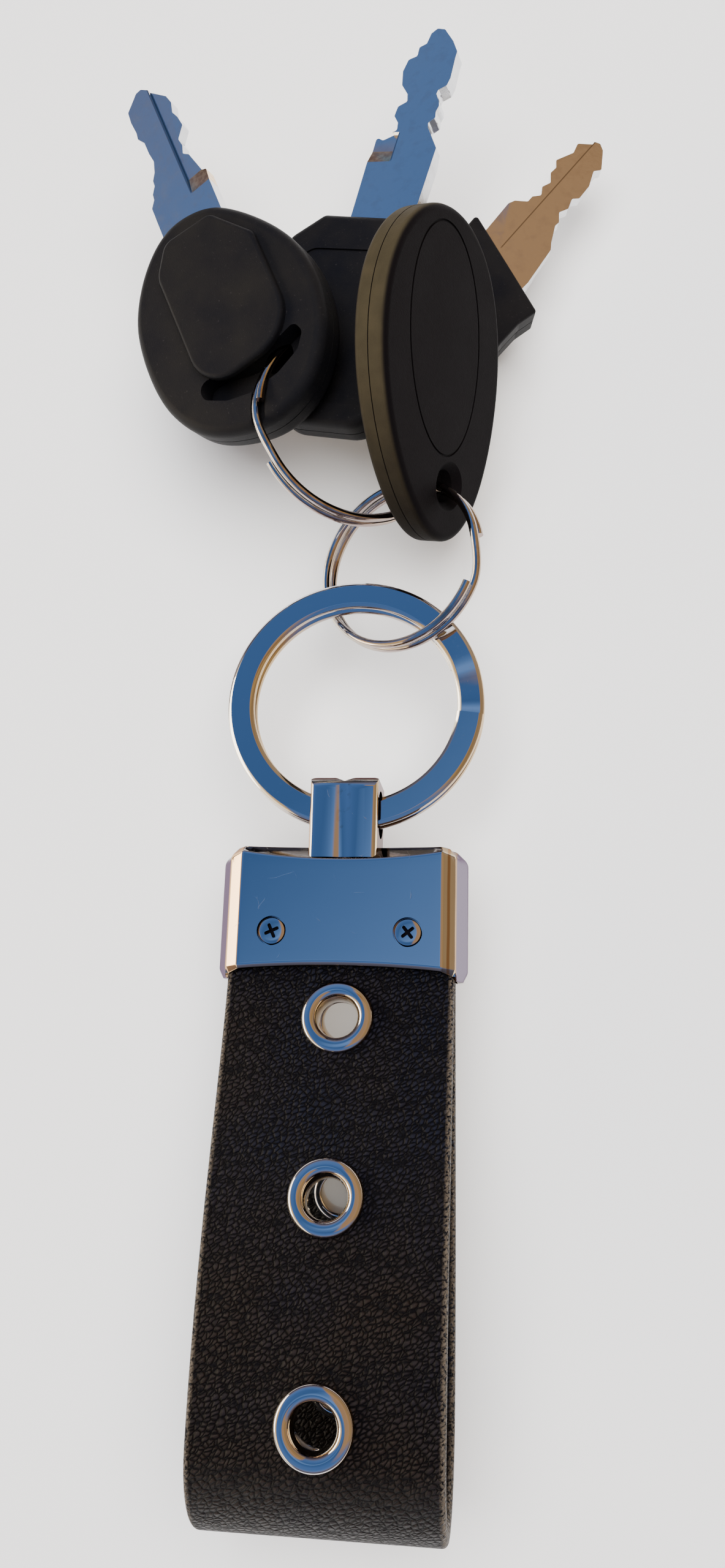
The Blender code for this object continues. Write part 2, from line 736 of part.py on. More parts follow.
def kidney_outline():
    """A slot bent round the head's middle, on the side of the ring."""
    outline = []
    for radius, order in ((kidney_radius + kidney_width / 2, 1), (kidney_radius - kidney_width / 2, -1)):
        for step in range(11):
            angle = -pi / 2 + order * kidney_half_angle * (step / 5 - 1)
            outline.append((radius * cos(angle), radius * sin(angle)))
    return outline


def round_outline(centre, radius, steps=14):
    return [(centre.x + radius * cos(2 * pi * step / steps), centre.y + radius * sin(2 * pi * step / steps))
            for step in range(steps)]


def make_key(word, outline, top, thickness, length, frame, ring_angle, eye):
    """Two head shells, the blade with its tang between them, and the sealed pill."""
    swing = pivot(f"{word}_key_pivot", frame)
    half_gap = parting_gap / 2
    half = thickness / 2
    cutters_here = []
    for level, width, depth in (("root", blade_width, blade_root_depth), ("tang", tang_width, tang_length)):
        pocket = box((-width / 2 - seat_gap, top - depth - seat_gap, -blade_thickness / 2 - seat_gap),
                     (width / 2 + seat_gap, top + overrun, blade_thickness / 2 + seat_gap), frame)
        cutters_here.append(make_cutter(f"{word}_{level}_pocket", pocket))
    pill_frame = frame @ Matrix.Translation((0, top - tang_length - pill_offset / 2, 0))
    pill_frame = pill_frame @ Matrix.Rotation(radians(90), 4, "Y")
    pill_reach = pill_length / 2
    pocket = cylinder(pill_radius + seat_gap, -pill_reach - seat_gap, pill_reach + seat_gap, 10, pill_frame)
    cutters_here.append(make_cutter(f"{word}_pill_pocket", pocket))
    passage = ring_passage(f"{word}_ring_passage", ring_angle, key_ring_frame(), key_ring_outer)
    cutters_here.append(passage)
    cutters_here.append(make_cutter(f"{word}_eye", prism(eye, -thickness, thickness, frame)))
    for shell_word, side in (("front", 1), ("rear", -1)):
        shell = prism(outline, 0, half - half_gap)
        soften_top(shell, half - half_gap, thickness * head_edge_share)
        flip = Matrix.Scale(side, 4, (0, 0, 1)) @ Matrix.Translation((0, 0, half_gap))
        bmesh.ops.transform(shell, matrix=flip, verts=shell.verts)
        made = finish_mesh(f"{word}_key_{shell_word}_shell", shell, matte_black)
        hold(made, swing)
        for cutter in cutters_here:
            cut(made, cutter)
    seat = Matrix.Translation((0, top, 0))
    blade = prism(blade_outline(length), -blade_thickness / 2, blade_thickness / 2, seat)
    blade_object = finish_mesh(f"{word}_key_blade", blade, nickel)
    hold(blade_object, swing)
    for side in (1, -1):
        face = side * blade_thickness / 2
        low, high = sorted((face - side * blade_groove_depth, face + side * overrun))
        groove = box((-blade_groove_width / 2, top + length * 0.42, low),
                     (blade_groove_width / 2, top + length + overrun, high), frame)
        cut(blade_object, make_cutter(f"{word}_blade_groove_{side}", groove))
    pill = cylinder(pill_radius, -pill_reach, pill_reach, 10,
                    Matrix.Translation((0, top - tang_length - pill_offset / 2, 0))
                    @ Matrix.Rotation(radians(90), 4, "Y"))
    hold(finish_mesh(f"{word}_key_pill", pill, glass_black), swing)
    return swing


def key_frame(face, along, ring_angle, mark):
    """Stand a head so that its mark lies on the key ring's wire."""
    place = ring_place(ring_angle, key_ring_frame(), key_ring_outer)
    turned_frame = facing(face, along, place)
    return turned_frame @ Matrix.Translation(-mark)


def make_left_key():
    frame = key_frame(left_face_direction, left_long_direction, left_ring_angle, left_ring_mark)
    outline = egg(left_head_length, left_head_width, left_head_egg_share, 40)
    top = left_head_length / 2
    swing = make_key("left", outline, top, left_head_thickness, left_blade_length, frame,
                     left_ring_angle, kidney_outline())
    half = cover_width / 2
    foot, head = -cover_foot, top - left_head_thickness * head_edge_share * 1.6
    corners = [(-half, foot), (half, foot), (half, head * 0.72), (half * 0.62, head), (-half * 0.62, head),
               (-half, head * 0.72)]
    radii = [cover_corner, cover_corner, cover_corner / 2, cover_corner / 3, cover_corner / 3,
             cover_corner / 2]
    low = left_head_thickness / 2 + seat_gap
    cover = prism(rounded(corners, radii), low, low + cover_rise)
    soften_top(cover, low + cover_rise, cover_rise * 0.6, 2)
    hold(finish_mesh("left_key_cover", cover, matte_black), swing)


def make_middle_key():
    frame = key_frame(middle_face_direction, middle_long_direction, middle_ring_angle, middle_ring_mark)
    half, collar, top = middle_head_width / 2, middle_collar_width / 2, middle_head_length / 2
    foot, hip, shoulder = half * middle_foot_share, top * middle_hip_share, top * middle_shoulder_share
    corners = [(-foot, -top), (foot, -top), (half, -hip), (half, shoulder), (collar, top), (-collar, top),
               (-half, shoulder), (-half, -hip)]
    outline = rounded(corners, [half * 0.4, half * 0.4, half * 0.6, half * 0.25, collar * 0.2, collar * 0.2,
                                half * 0.25, half * 0.6], 3)
    eye = round_outline(middle_ring_mark - Vector((middle_eye_shift, 0, 0)), eye_radius)
    make_key("middle", outline, top, middle_head_thickness, middle_blade_length, frame,
             middle_ring_angle, eye)


def make_right_key():
    frame = key_frame(right_face_direction, right_long_direction, right_ring_angle, right_ring_mark)
    half, collar, waist = right_head_width / 2, right_collar_width / 2, right_waist_width / 2
    top = right_head_length / 2
    neck, tuck, slant = top * right_neck_share, top * right_waist_share, right_collar_slant
    # The blade end of the head is cut off at a slant
    corners = [(-half * 0.6, -top), (half * 0.6, -top), (half, -top * 0.45), (half, 0), (waist, tuck),
               (waist, neck), (collar, top - slant), (-collar, top + slant), (-waist, neck),
               (-waist, tuck), (-half, 0), (-half, -top * 0.45)]
    radii = [half * 0.4, half * 0.4, half * 0.35, half * 0.2, waist * 0.4, waist * 0.3, collar * 0.06,
             collar * 0.06, waist * 0.3, waist * 0.4, half * 0.2, half * 0.35]
    make_key("right", rounded(corners, radii, 3), top, right_head_thickness, right_blade_length, frame,
             right_ring_angle, round_outline(right_ring_mark, eye_radius))


cutter_material = principled("cutter", (0.8, 0.3, 0.1), 0.5, 0.0)
leather = principled("black_leather", (0.03, 0.028, 0.03), 0.55, 0.0)
chrome = principled("chrome", (0.78, 0.79, 0.82), 0.06, 1.0)
steel = principled("steel", (0.5, 0.5, 0.5), 0.35, 1.0)
nickel = principled("nickel_blade", (0.66, 0.67, 0.7), 0.22, 1.0)
matte_black = principled("matte_black_plastic", (0.02, 0.02, 0.022), 0.5, 0.0)
glass_black = principled("glass_pill", (0.1, 0.1, 0.12), 0.15, 0.0)
copper = principled("copper_winding", (0.7, 0.35, 0.2), 0.35, 1.0)

make_strap()
make_eyelets()
make_clamp()
make_screws()
make_filler()
make_big_ring()
make_wire_ring("link_split_ring", link_ring_outer, link_cross_start, link_ring_frame())
make_wire_ring("key_split_ring", key_ring_outer, key_cross_start, key_ring_frame())
make_tag()
make_left_key()
make_middle_key()
make_right_key()
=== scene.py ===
"""Looks of a leather strap keychain: chrome clamp, rolled eyelets, split rings, an oval tag and keys."""
import bmesh
import bpy
from math import ceil, cos, exp, pi, radians, sin, tan
from mathutils import Matrix, Vector


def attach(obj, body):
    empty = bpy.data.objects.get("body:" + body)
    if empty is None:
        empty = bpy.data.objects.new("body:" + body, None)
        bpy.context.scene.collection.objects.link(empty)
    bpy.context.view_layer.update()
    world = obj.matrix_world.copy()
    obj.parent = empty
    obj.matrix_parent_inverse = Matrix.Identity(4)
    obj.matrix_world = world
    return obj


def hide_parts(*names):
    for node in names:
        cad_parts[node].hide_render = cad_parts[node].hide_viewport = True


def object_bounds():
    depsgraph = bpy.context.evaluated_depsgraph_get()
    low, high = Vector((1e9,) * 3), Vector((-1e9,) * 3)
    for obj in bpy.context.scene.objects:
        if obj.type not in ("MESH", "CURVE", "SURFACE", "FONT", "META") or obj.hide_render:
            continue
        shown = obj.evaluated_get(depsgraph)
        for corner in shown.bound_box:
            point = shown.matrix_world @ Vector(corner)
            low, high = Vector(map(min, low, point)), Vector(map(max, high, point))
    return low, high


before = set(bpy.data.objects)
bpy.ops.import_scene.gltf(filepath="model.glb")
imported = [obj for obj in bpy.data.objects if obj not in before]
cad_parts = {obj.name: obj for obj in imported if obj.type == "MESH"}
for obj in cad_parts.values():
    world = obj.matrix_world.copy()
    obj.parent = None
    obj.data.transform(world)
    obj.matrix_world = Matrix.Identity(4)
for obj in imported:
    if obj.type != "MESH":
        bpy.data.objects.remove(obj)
cad_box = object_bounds()
mm = 0.001

# Camera
# The photo was taken from just above the clamp, close to the strap, looking a little towards the keys.
# A wide phone lens makes the near eyelets look larger than the far ones.
camera_place = Vector((18.91, -19.12, 135.15)) * mm
camera_data = bpy.data.cameras.new("camera")
camera_data.sensor_width = 36
camera_data.lens = 27.21
camera_data.clip_start = 0.001
camera = bpy.data.objects.new("camera", camera_data)
bpy.context.scene.collection.objects.link(camera)
camera_tip, camera_lean, camera_roll = radians(14.66), radians(7.25), radians(-0.19)
camera_turn = (Matrix.Rotation(camera_tip, 4, "X") @ Matrix.Rotation(camera_lean, 4, "Y")
               @ Matrix.Rotation(camera_roll, 4, "Z"))
camera.matrix_world = Matrix.Translation(camera_place) @ camera_turn
bpy.context.scene.camera = camera


# Material maths
# A small wrapper lets shader maths be written as plain sums and products.
class Wire:
    def __init__(self, material, socket):
        self.material = material
        self.socket = socket

    def sum(self, operation, other, swap=False):
        pair = (other, self) if swap else (self, other)
        return self.material.node("ShaderNodeMath", {"operation": operation}, {0: pair[0], 1: pair[1]})

    def __add__(self, other):
        return self.sum("ADD", other)

    def __radd__(self, other):
        return self.sum("ADD", other, True)

    def __sub__(self, other):
        return self.sum("SUBTRACT", other)

    def __rsub__(self, other):
        return self.sum("SUBTRACT", other, True)

    def __mul__(self, other):
        return self.sum("MULTIPLY", other)

    def __rmul__(self, other):
        return self.sum("MULTIPLY", other, True)

    def __abs__(self):
        return self.material.node("ShaderNodeMath", {"operation": "ABSOLUTE"}, {0: self})


class Finish:
    """One material: a Principled shader and the nodes that feed it."""

    def __init__(self, name, colour, roughness, metallic=0.0):
        self.data = bpy.data.materials.new(name)
        self.data.use_nodes = True
        self.tree = self.data.node_tree
        self.shader = self.tree.nodes["Principled BSDF"]
        self.set("Base Color", (*colour, 1.0))
        self.set("Roughness", roughness)
        self.set("Metallic", metallic)

    def set(self, name, value):
        if isinstance(value, Wire):
            self.tree.links.new(value.socket, self.shader.inputs[name])
        else:
            self.shader.inputs[name].default_value = value

    def node(self, kind, settings=None, inputs=None, output=0):
        made = self.tree.nodes.new(kind)
        for key, value in (settings or {}).items():
            if key == "stops":
                ramp = made.color_ramp
                while len(ramp.elements) < len(value):
                    ramp.elements.new(0.5)
                for element, (place, colour) in zip(ramp.elements, value):
                    element.position = place
                    element.color = colour
            else:
                setattr(made, key, value)
        for key, value in (inputs or {}).items():
            if isinstance(value, Wire):
                self.tree.links.new(value.socket, made.inputs[key])
            else:
                made.inputs[key].default_value = value
        return Wire(self, made.outputs[output])

    def place(self):
        return self.node("ShaderNodeTexCoord", output="Object")

    def axis(self, vector, letter):
        return self.node("ShaderNodeSeparateXYZ", None, {0: vector}, letter)

    def facing(self):
        return self.node("ShaderNodeTexCoord", output="Normal")

    def vector_node(self, operation, one, other, output=0):
        return self.node("ShaderNodeVectorMath", {"operation": operation}, {0: one, 1: other}, output)

    def dot(self, vector, direction):
        return self.vector_node("DOT_PRODUCT", vector, direction, "Value")

    def shifted(self, vector, push, share):
        """A place pushed sideways by a share of a coloured noise."""
        return self.node("ShaderNodeVectorMath", {"operation": "MULTIPLY_ADD"},
                         {0: push, 1: (share, share, share), 2: vector})

    def noise(self, scale, detail=2.0, output="Fac"):
        return self.node("ShaderNodeTexNoise", None,
                         {"Vector": self.place(), "Scale": scale, "Detail": detail}, output)

    def cells(self, vector, scale, feature, **more):
        return self.node("ShaderNodeTexVoronoi", {"feature": feature},
                         {"Vector": vector, "Scale": scale, **more})

    def ramp(self, value, *stops):
        """A curve of grey through the given pairs of place and shade."""
        shades = [(place, (shade, shade, shade, 1.0)) for place, shade in stops]
        return self.node("ShaderNodeValToRGB", {"stops": shades}, {"Fac": value})

    def painted_reflection_tint(self, base, steep=(0.42, 0.36, 0.34), east=(0.56, 0.40, 0.22), west=(0.86, 0.80, 0.66)):
        """Painted reflection: steep sides of polished metal are coloured by the way they face, standing in
        for the warm room they reflect, lighter to the left, golden to the right.
        """
        across = self.axis(self.facing(), "X")
        flat = self.ramp(abs(self.axis(self.facing(), "Z")), (0.62, 0.0), (0.90, 1.0))
        side = self.blend(self.ramp(across, (0.35, 0.0), (0.8, 1.0)), steep, east)
        side = self.blend(self.ramp(0.0 - across, (0.35, 0.0), (0.8, 1.0)), side, west)
        return self.blend(flat, side, base)

    def blend(self, factor, one, other):
        """Two colours, each a node's output or three numbers, mixed by the factor."""
        one, other = (shade if isinstance(shade, Wire) else (*shade, 1.0) for shade in (one, other))
        return self.node("ShaderNodeMix", {"data_type": "RGBA"}, {0: factor, 6: one, 7: other}, 2)

    def bump(self, height, distance, strength=1.0):
        self.set("Normal", self.node("ShaderNodeBump", None,
                                     {"Height": height, "Distance": distance, "Strength": strength}))


# Floor, sky and lights
# A pale table top carries the keychain, with a blue sky overhead that the polished metal shows,
# and warm light low at the sides.
def show(name, data, *finishes):
    piece = bpy.data.objects.new(name, data)
    bpy.context.scene.collection.objects.link(piece)
    for finish in finishes:
        data.materials.append(finish.data)
    return piece


floor_shape = bmesh.new()
bmesh.ops.create_grid(floor_shape, x_segments=1, y_segments=1, size=3.0)
bmesh.ops.translate(floor_shape, verts=floor_shape.verts, vec=(0, 0, cad_box[0][2] - 0.05 * mm))
floor_mesh = bpy.data.meshes.new("floor")
floor_shape.to_mesh(floor_mesh)
floor_shape.free()
pale = Finish("pale_table", (0.93, 0.93, 0.925), 0.7)
floor_piece = show("floor", floor_mesh, pale)

world = bpy.data.worlds.new("sky")
bpy.context.scene.world = world
world.use_nodes = True
sky_nodes = world.node_tree
background = sky_nodes.nodes["Background"]
direction = sky_nodes.nodes.new("ShaderNodeTexCoord")
split = sky_nodes.nodes.new("ShaderNodeSeparateXYZ")
sky_nodes.links.new(direction.outputs["Generated"], split.inputs[0])


def sky_sum(operation, one, other):
    made = sky_nodes.nodes.new("ShaderNodeMath")
    made.operation = operation
    for socket, value in zip(made.inputs, (one, other)):
        if isinstance(value, float):
            socket.default_value = value
        else:
            sky_nodes.links.new(value, socket)
    return made.outputs[0]


def sky_band(value, stops):
    made = sky_nodes.nodes.new("ShaderNodeValToRGB")
    while len(made.color_ramp.elements) < len(stops):
        made.color_ramp.elements.new(0.5)
    for element, (height, colour) in zip(made.color_ramp.elements, stops):
        element.position = height
        element.color = (*colour, 1.0)
    sky_nodes.links.new(value, made.inputs["Fac"])
    return made.outputs["Color"]


def sky_mix(factor, one, other):
    made = sky_nodes.nodes.new("ShaderNodeMix")
    made.data_type = "RGBA"
    for socket, value in ((made.inputs[0], factor), (made.inputs[6], one), (made.inputs[7], other)):
        sky_nodes.links.new(value, socket)
    return made.outputs[2]


def sky_edge(value, shift, gain):
    """Dark on one side of a soft edge and full on the other."""
    return sky_band(sky_sum("MULTIPLY", sky_sum("ADD", value, shift), gain),
                    ((0.0, (0.0, 0.0, 0.0)), (1.0, (1.0, 1.0, 1.0))))


east, north, height = split.outputs["X"], split.outputs["Y"], split.outputs["Z"]
open_sky = sky_band(height, ((0.0, (0.10, 0.085, 0.09)), (0.24, (0.16, 0.15, 0.19)),
                             (0.42, (0.20, 0.20, 0.30)), (0.56, (0.12, 0.22, 0.46)),
                             (0.80, (0.075, 0.165, 0.39)), (1.0, (0.045, 0.115, 0.27))))
pale_sky = sky_band(height, ((0.0, (0.10, 0.085, 0.09)), (0.5, (0.16, 0.26, 0.48)),
                             (0.86, (0.16, 0.30, 0.60)), (1.0, (0.17, 0.31, 0.62))))
gold = sky_band(height, ((0.0, (0.16, 0.13, 0.15)), (0.30, (0.50, 0.35, 0.20)), (0.56, (0.36, 0.215, 0.09)),
                         (0.66, (0.60, 0.35, 0.12)), (0.70, (0.30, 0.16, 0.07)),
                         (0.76, (0.50, 0.29, 0.14)), (1.0, (0.43, 0.25, 0.13))))
cream = sky_band(height, ((0.0, (0.30, 0.24, 0.22)), (0.12, (0.45, 0.36, 0.33)), (0.20, (2.6, 2.2, 1.5)),
                          (0.40, (2.5, 2.0, 1.3)), (0.48, (0.95, 0.60, 0.26)), (1.0, (0.70, 0.43, 0.19))))
glow = sky_sum("MULTIPLY", sky_edge(sky_sum("SUBTRACT", east, north), 0.42, 2.6), sky_edge(north, 0.25, 5.0))
to_gold = sky_sum("MULTIPLY", sky_edge(east, -0.08, 12.0), sky_edge(north, 0.6, 4.0))
upward = sky_sum("ADD", sky_sum("MULTIPLY", height, 0.5),
                 sky_sum("MULTIPLY", sky_sum("MAXIMUM", north, 0.0), 0.6))
lit_west = sky_edge(sky_sum("SUBTRACT", sky_sum("MULTIPLY", east, -1.0), upward), -0.36, 18.0)
whole_sky = sky_mix(glow, open_sky, pale_sky)
whole_sky = sky_mix(to_gold, whole_sky, gold)
whole_sky = sky_mix(lit_west, whole_sky, cream)
sky_nodes.links.new(whole_sky, background.inputs["Color"])
background.inputs["Strength"].default_value = 1.0


def lamp(name, place, aim, size, power, colour):
    data = bpy.data.lights.new(name, "AREA")
    data.shape = "RECTANGLE"
    data.size, data.size_y = size
    data.energy = power
    data.color = colour
    made = show(name, data)
    made.location = place
    made.rotation_euler = (Vector(aim) - Vector(place)).to_track_quat("-Z", "Y").to_euler()
    return made


overhead = lamp("overhead", (0.05, 0.12, 0.75), (0, 0.03, 0), (0.9, 0.9), 19.0, (1.0, 0.99, 0.97))
overhead.visible_glossy = False
lamp("window", (-0.6, 0.05, 0.16), (0, 0.02, 0), (0.6, 0.16), 1.8, (1.0, 0.88, 0.72))


# Strap
# One ply of black pebbled leather, folded back on itself, its two ends clamped.
# Its cut edges are painted and rounded, and it is punched for the eyelets.
strap_width = 25.0 * mm
strap_thickness = 1.8 * mm
strap_reach = 61.8 * mm
strap_opening = 18.8 * mm
clamp_middle = 3.75 * mm
clamp_top = 7.3 * mm
ply_height = 1.45 * mm
fold_radius = (strap_opening - strap_thickness) / 2
fold_y = -(strap_reach - strap_opening / 2)
strap_end = 3.6 * mm
eyelet_punch = 2.6 * mm
screw_clearance = 1.05 * mm
eyelet_places = (11.6 * mm, 29.724 * mm, 50.0 * mm)
screw_places = (-7.5 * mm, 7.5 * mm)
screw_y = -2.3 * mm


def ply_rise(y):
    if y >= -clamp_top:
        return ply_height
    share = min((-clamp_top - y) / (-clamp_top - fold_y), 1.0)
    return ply_height + (fold_radius - ply_height) * sin(pi / 2 * share) ** 1.3


def facing(face, along, place):
    up = face.normalized()
    forward = (along - up * along.dot(up)).normalized()
    turn = Matrix((forward.cross(up), forward, up)).transposed().to_4x4()
    return Matrix.Translation(place) @ turn


def ply_frame(y, side):
    slope = (ply_rise(y + 0.1 * mm) - ply_rise(y - 0.1 * mm)) / (0.2 * mm)
    out = Vector((0, -slope, 1)).normalized()
    face = Vector((0, y, ply_rise(y))) + out * strap_thickness / 2
    mirrored = Vector((1, 1, side))
    return facing(out * mirrored, Vector((0, 1, 0)), face * mirrored + Vector((0, 0, clamp_middle)))


def mesh_of(name, shape, angle=35):
    """A bmesh's mesh, welded, its faces turned outwards and smooth but for its sharp edges."""
    bmesh.ops.remove_doubles(shape, verts=shape.verts, dist=0.001 * mm)
    bmesh.ops.recalc_face_normals(shape, faces=shape.faces)
    mesh = bpy.data.meshes.new(name)
    shape.to_mesh(mesh)
    shape.free()
    mesh.shade_smooth()
    mesh.set_sharp_from_angle(angle=radians(angle))
    return mesh


def settle(piece):
    """Apply a piece's modifiers, so that only its finished mesh is left."""
    graph = bpy.context.evaluated_depsgraph_get()
    finished = bpy.data.meshes.new_from_object(piece.evaluated_get(graph))
    piece.modifiers.clear()
    finished.name = piece.name
    piece.data = finished
    return piece


def round_edges(piece, width, segments, angle):
    """Round every edge that turns by more than the angle."""
    rim = piece.modifiers.new("edges", "BEVEL")
    rim.width = width
    rim.segments = segments
    rim.limit_method = "ANGLE"
    rim.angle_limit = radians(angle)
    settle(piece)


def recolour(node, finish):
    """A solid that stays as it is gets a better material."""
    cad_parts[node].data.materials.clear()
    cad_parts[node].data.materials.append(finish.data)


def dress(piece, finish, angle):
    """Smooth shading but for the sharp edges, large faces kept flat, and one material."""
    piece.data.shade_smooth()
    piece.data.set_sharp_from_angle(angle=radians(angle))
    flat_faces = piece.modifiers.new("flat_faces", "WEIGHTED_NORMAL")
    flat_faces.keep_sharp = True
    settle(piece)
    piece.data.materials.clear()
    piece.data.materials.append(finish.data)


def put(shape, matrix):
    bmesh.ops.transform(shape, matrix=matrix, verts=shape.verts)


def carve(piece, shape, operation="DIFFERENCE"):
    tool = show("tool", mesh_of("tool", shape))
    step = piece.modifiers.new("carve", "BOOLEAN")
    step.operation = operation
    step.solver = "EXACT"
    step.object = tool
    settle(piece)
    bpy.data.objects.remove(tool, do_unlink=True)
    return piece


def prism(outline, low, high, place=Matrix.Identity(4)):
    shape = bmesh.new()
    base = shape.faces.new([shape.verts.new((x, y, low)) for x, y in outline])
    raised = bmesh.ops.extrude_face_region(shape, geom=[base])["geom"]
    tops = [item for item in raised if isinstance(item, bmesh.types.BMVert)]
    bmesh.ops.translate(shape, verts=tops, vec=(0, 0, high - low))
    put(shape, place)
    return shape


def disc_outline(radius, steps, centre=(0.0, 0.0)):
    return [(centre[0] + radius * cos(2 * pi * i / steps), centre[1] + radius * sin(2 * pi * i / steps))
            for i in range(steps)]


ply_steps, fold_steps = 90, 48
strap_line = [(strap_end, ply_height), (-clamp_top, ply_height)]
strap_line += [(y, ply_rise(y)) for y in
               [-clamp_top + (fold_y + clamp_top) * i / ply_steps for i in range(1, ply_steps + 1)]]
strap_fold = [(fold_y - fold_radius * sin(pi * i / fold_steps), fold_radius * cos(pi * i / fold_steps))
              for i in range(1, fold_steps)]
strap_line += strap_fold + [(y, -rise) for y, rise in reversed(strap_line)]

strap_shape = bmesh.new()
strap_verts = [strap_shape.verts.new((-strap_width / 2, y, clamp_middle + rise)) for y, rise in strap_line]
strap_edges = [strap_shape.edges.new(pair) for pair in zip(strap_verts, strap_verts[1:])]
strap_columns = 40
for column in range(strap_columns):
    swept = bmesh.ops.extrude_edge_only(strap_shape, edges=strap_edges)["geom"]
    moved = [item for item in swept if isinstance(item, bmesh.types.BMVert)]
    strap_edges = [item for item in swept if isinstance(item, bmesh.types.BMEdge)
                   and item.verts[0] in moved and item.verts[1] in moved]
    bmesh.ops.translate(strap_shape, verts=moved, vec=(strap_width / strap_columns, 0, 0))
black_leather = Finish("black_pebbled_leather", (0.012, 0.011, 0.013), 0.5)
strap = show("leather_strap", mesh_of("leather_strap", strap_shape), black_leather)
wall = strap.modifiers.new("ply", "SOLIDIFY")
wall.thickness = strap_thickness
wall.offset = 0
wall.use_even_offset = True
round_edges(strap, 0.6 * mm, 5, 50)
for side in (1, -1):
    for place in eyelet_places:
        carve(strap, prism(disc_outline(eyelet_punch, 32), -strap_thickness - 1.0 * mm, 1.0 * mm,
                           ply_frame(-place, side)))
for x in screw_places:
    carve(strap, prism(disc_outline(screw_clearance, 16, (x, screw_y)), -2.0 * mm, 9.5 * mm))
dress(strap, black_leather, 40)

leather_place = black_leather.place()
leather_across = black_leather.axis(leather_place, "X")
leather_along = black_leather.axis(leather_place, "Y")
leather_bent = black_leather.shifted(leather_place, black_leather.noise(900.0, 2.0, "Color"), 0.0004)
leather_skew = black_leather.node("ShaderNodeMapping", {"vector_type": "TEXTURE"},
                                  {"Vector": leather_bent, "Rotation": (0.0, 0.0, radians(37)),
                                   "Scale": (1.15, 0.66, 1.0)})
pebble = black_leather.cells(leather_skew, 1600.0, "SMOOTH_F1", Smoothness=0.35, Randomness=0.85)
crease = black_leather.cells(leather_skew, 1600.0, "DISTANCE_TO_EDGE", Randomness=0.85)
crease_line = black_leather.ramp(crease, (0.0, 0.0), (0.22, 1.0))
pore = black_leather.noise(6200.0, 2.0)
swell = black_leather.noise(120.0, 2.0)
leather_height = (1.0 - pebble) * 0.6 + crease_line * 0.6 + pore * 0.2 + swell * 0.5
black_leather.bump(leather_height, 0.26 * mm, 1.0)
black_leather.set("Roughness", 0.60 - 0.16 * crease_line + 0.10 * pore)
# Painted light and shade: random patches, plus a gradient from navy-black painted shade on the right to warm
# brown painted light towards the left and the fold.
patch = black_leather.noise(70.0, 3.0)
patches_and_painted_light = patch - 12.0 * leather_across - 5.0 * (leather_along + 30.0 * mm)
leather_tone_painted_light_and_shade = black_leather.blend(black_leather.ramp(patches_and_painted_light, (0.35, 0.0), (0.68, 1.0)),
                             (0.0045, 0.0055, 0.0115), (0.0130, 0.0090, 0.0072))
# Painted shade: the creases between the pebbles are darkened nearly to black.
leather_tone_painted_light_and_shade = black_leather.blend(crease_line * (1.15 - pebble), (0.0008, 0.0008, 0.0012), leather_tone_painted_light_and_shade)
# Partly painted light: the cut edges' edge paint is made a light olive-brown, which stands in for warm light
# catching the left edge. The dark specks are real.
edge_paint_and_painted_light = black_leather.ramp((abs(leather_across) - 11.85 * mm) * 2600.0, (0.0, 0.0), (1.0, 1.0))
speck = black_leather.ramp(black_leather.noise(3300.0, 2.0), (0.42, 0.0), (0.50, 1.0))
black_leather.set("Base Color", black_leather.blend(edge_paint_and_painted_light * speck, leather_tone_painted_light_and_shade, (0.090, 0.070, 0.050)))
black_leather.set("Specular IOR Level", 0.26)
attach(strap, "strap_and_clamp")
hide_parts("strap")


# Eyelets
# Chrome-plated eyelets, each pressed from one disc: a crowned rim on the show face, and a barrel
# through the ply that is rolled over inside the loop.
eyelet_radius = 3.95 * mm
eyelet_throat = 2.15 * mm
chrome_colour = (0.74, 0.76, 0.80)
chrome = Finish("polished_chrome", chrome_colour, 0.05, 1.0)
chrome_smear = chrome.noise(260.0, 3.0)
chrome_dust = chrome.ramp(chrome.noise(2400.0, 3.0), (0.60, 0.0), (0.72, 1.0))
chrome.set("Roughness", 0.025 + 0.05 * chrome_smear + 0.12 * chrome_dust)
chrome.bump(chrome.noise(420.0, 1.0), 0.012 * mm, 0.35)
# Painted reflection: the eyelet chrome's colour changes with the way each surface faces.
chrome.set("Base Color", chrome.painted_reflection_tint(chrome_colour))


def spun(name, profile, place, steps=64, finish=chrome):
    """A closed profile of radius and height, spun once about its own Z and put in place."""
    shape = bmesh.new()
    verts = [shape.verts.new((radius, 0, height)) for radius, height in profile]
    edges = [shape.edges.new((verts[i - 1], verts[i])) for i in range(len(verts))]
    bmesh.ops.spin(shape, geom=verts + edges, cent=(0, 0, 0), axis=(0, 0, 1), dvec=(0, 0, 0),
                   angle=2 * pi, steps=steps, use_merge=True)
    put(shape, place)
    return show(name, mesh_of(name, shape), finish)


def eyelet_profile(roll_top):
    """From the rim's outer foot over the crown, down the throat, round the roll and back up."""
    crown = 0.78 * mm
    middle = 3.15 * mm
    barrel = 2.45 * mm
    roll = 0.42 * mm
    points = [(eyelet_radius, 0.04 * mm)]
    for step in range(13):
        angle = radians(20 + 160 * step / 12)
        reach = eyelet_radius - middle if cos(angle) > 0 else middle - eyelet_throat - 0.1 * mm
        points.append((middle + reach * cos(angle), crown * sin(angle) * (0.9 if cos(angle) > 0 else 1.0)))
    points += [(eyelet_throat + 0.05 * mm, -0.3 * mm), (eyelet_throat, -0.7 * mm), (eyelet_throat, roll_top)]
    for step in range(1, 8):
        angle = radians(180 + 180 * step / 7)
        points.append((eyelet_throat + roll + roll * cos(angle), roll_top + 0.3 * mm * sin(angle)))
    points += [(barrel, roll_top), (barrel, 0.02 * mm)]
    return points


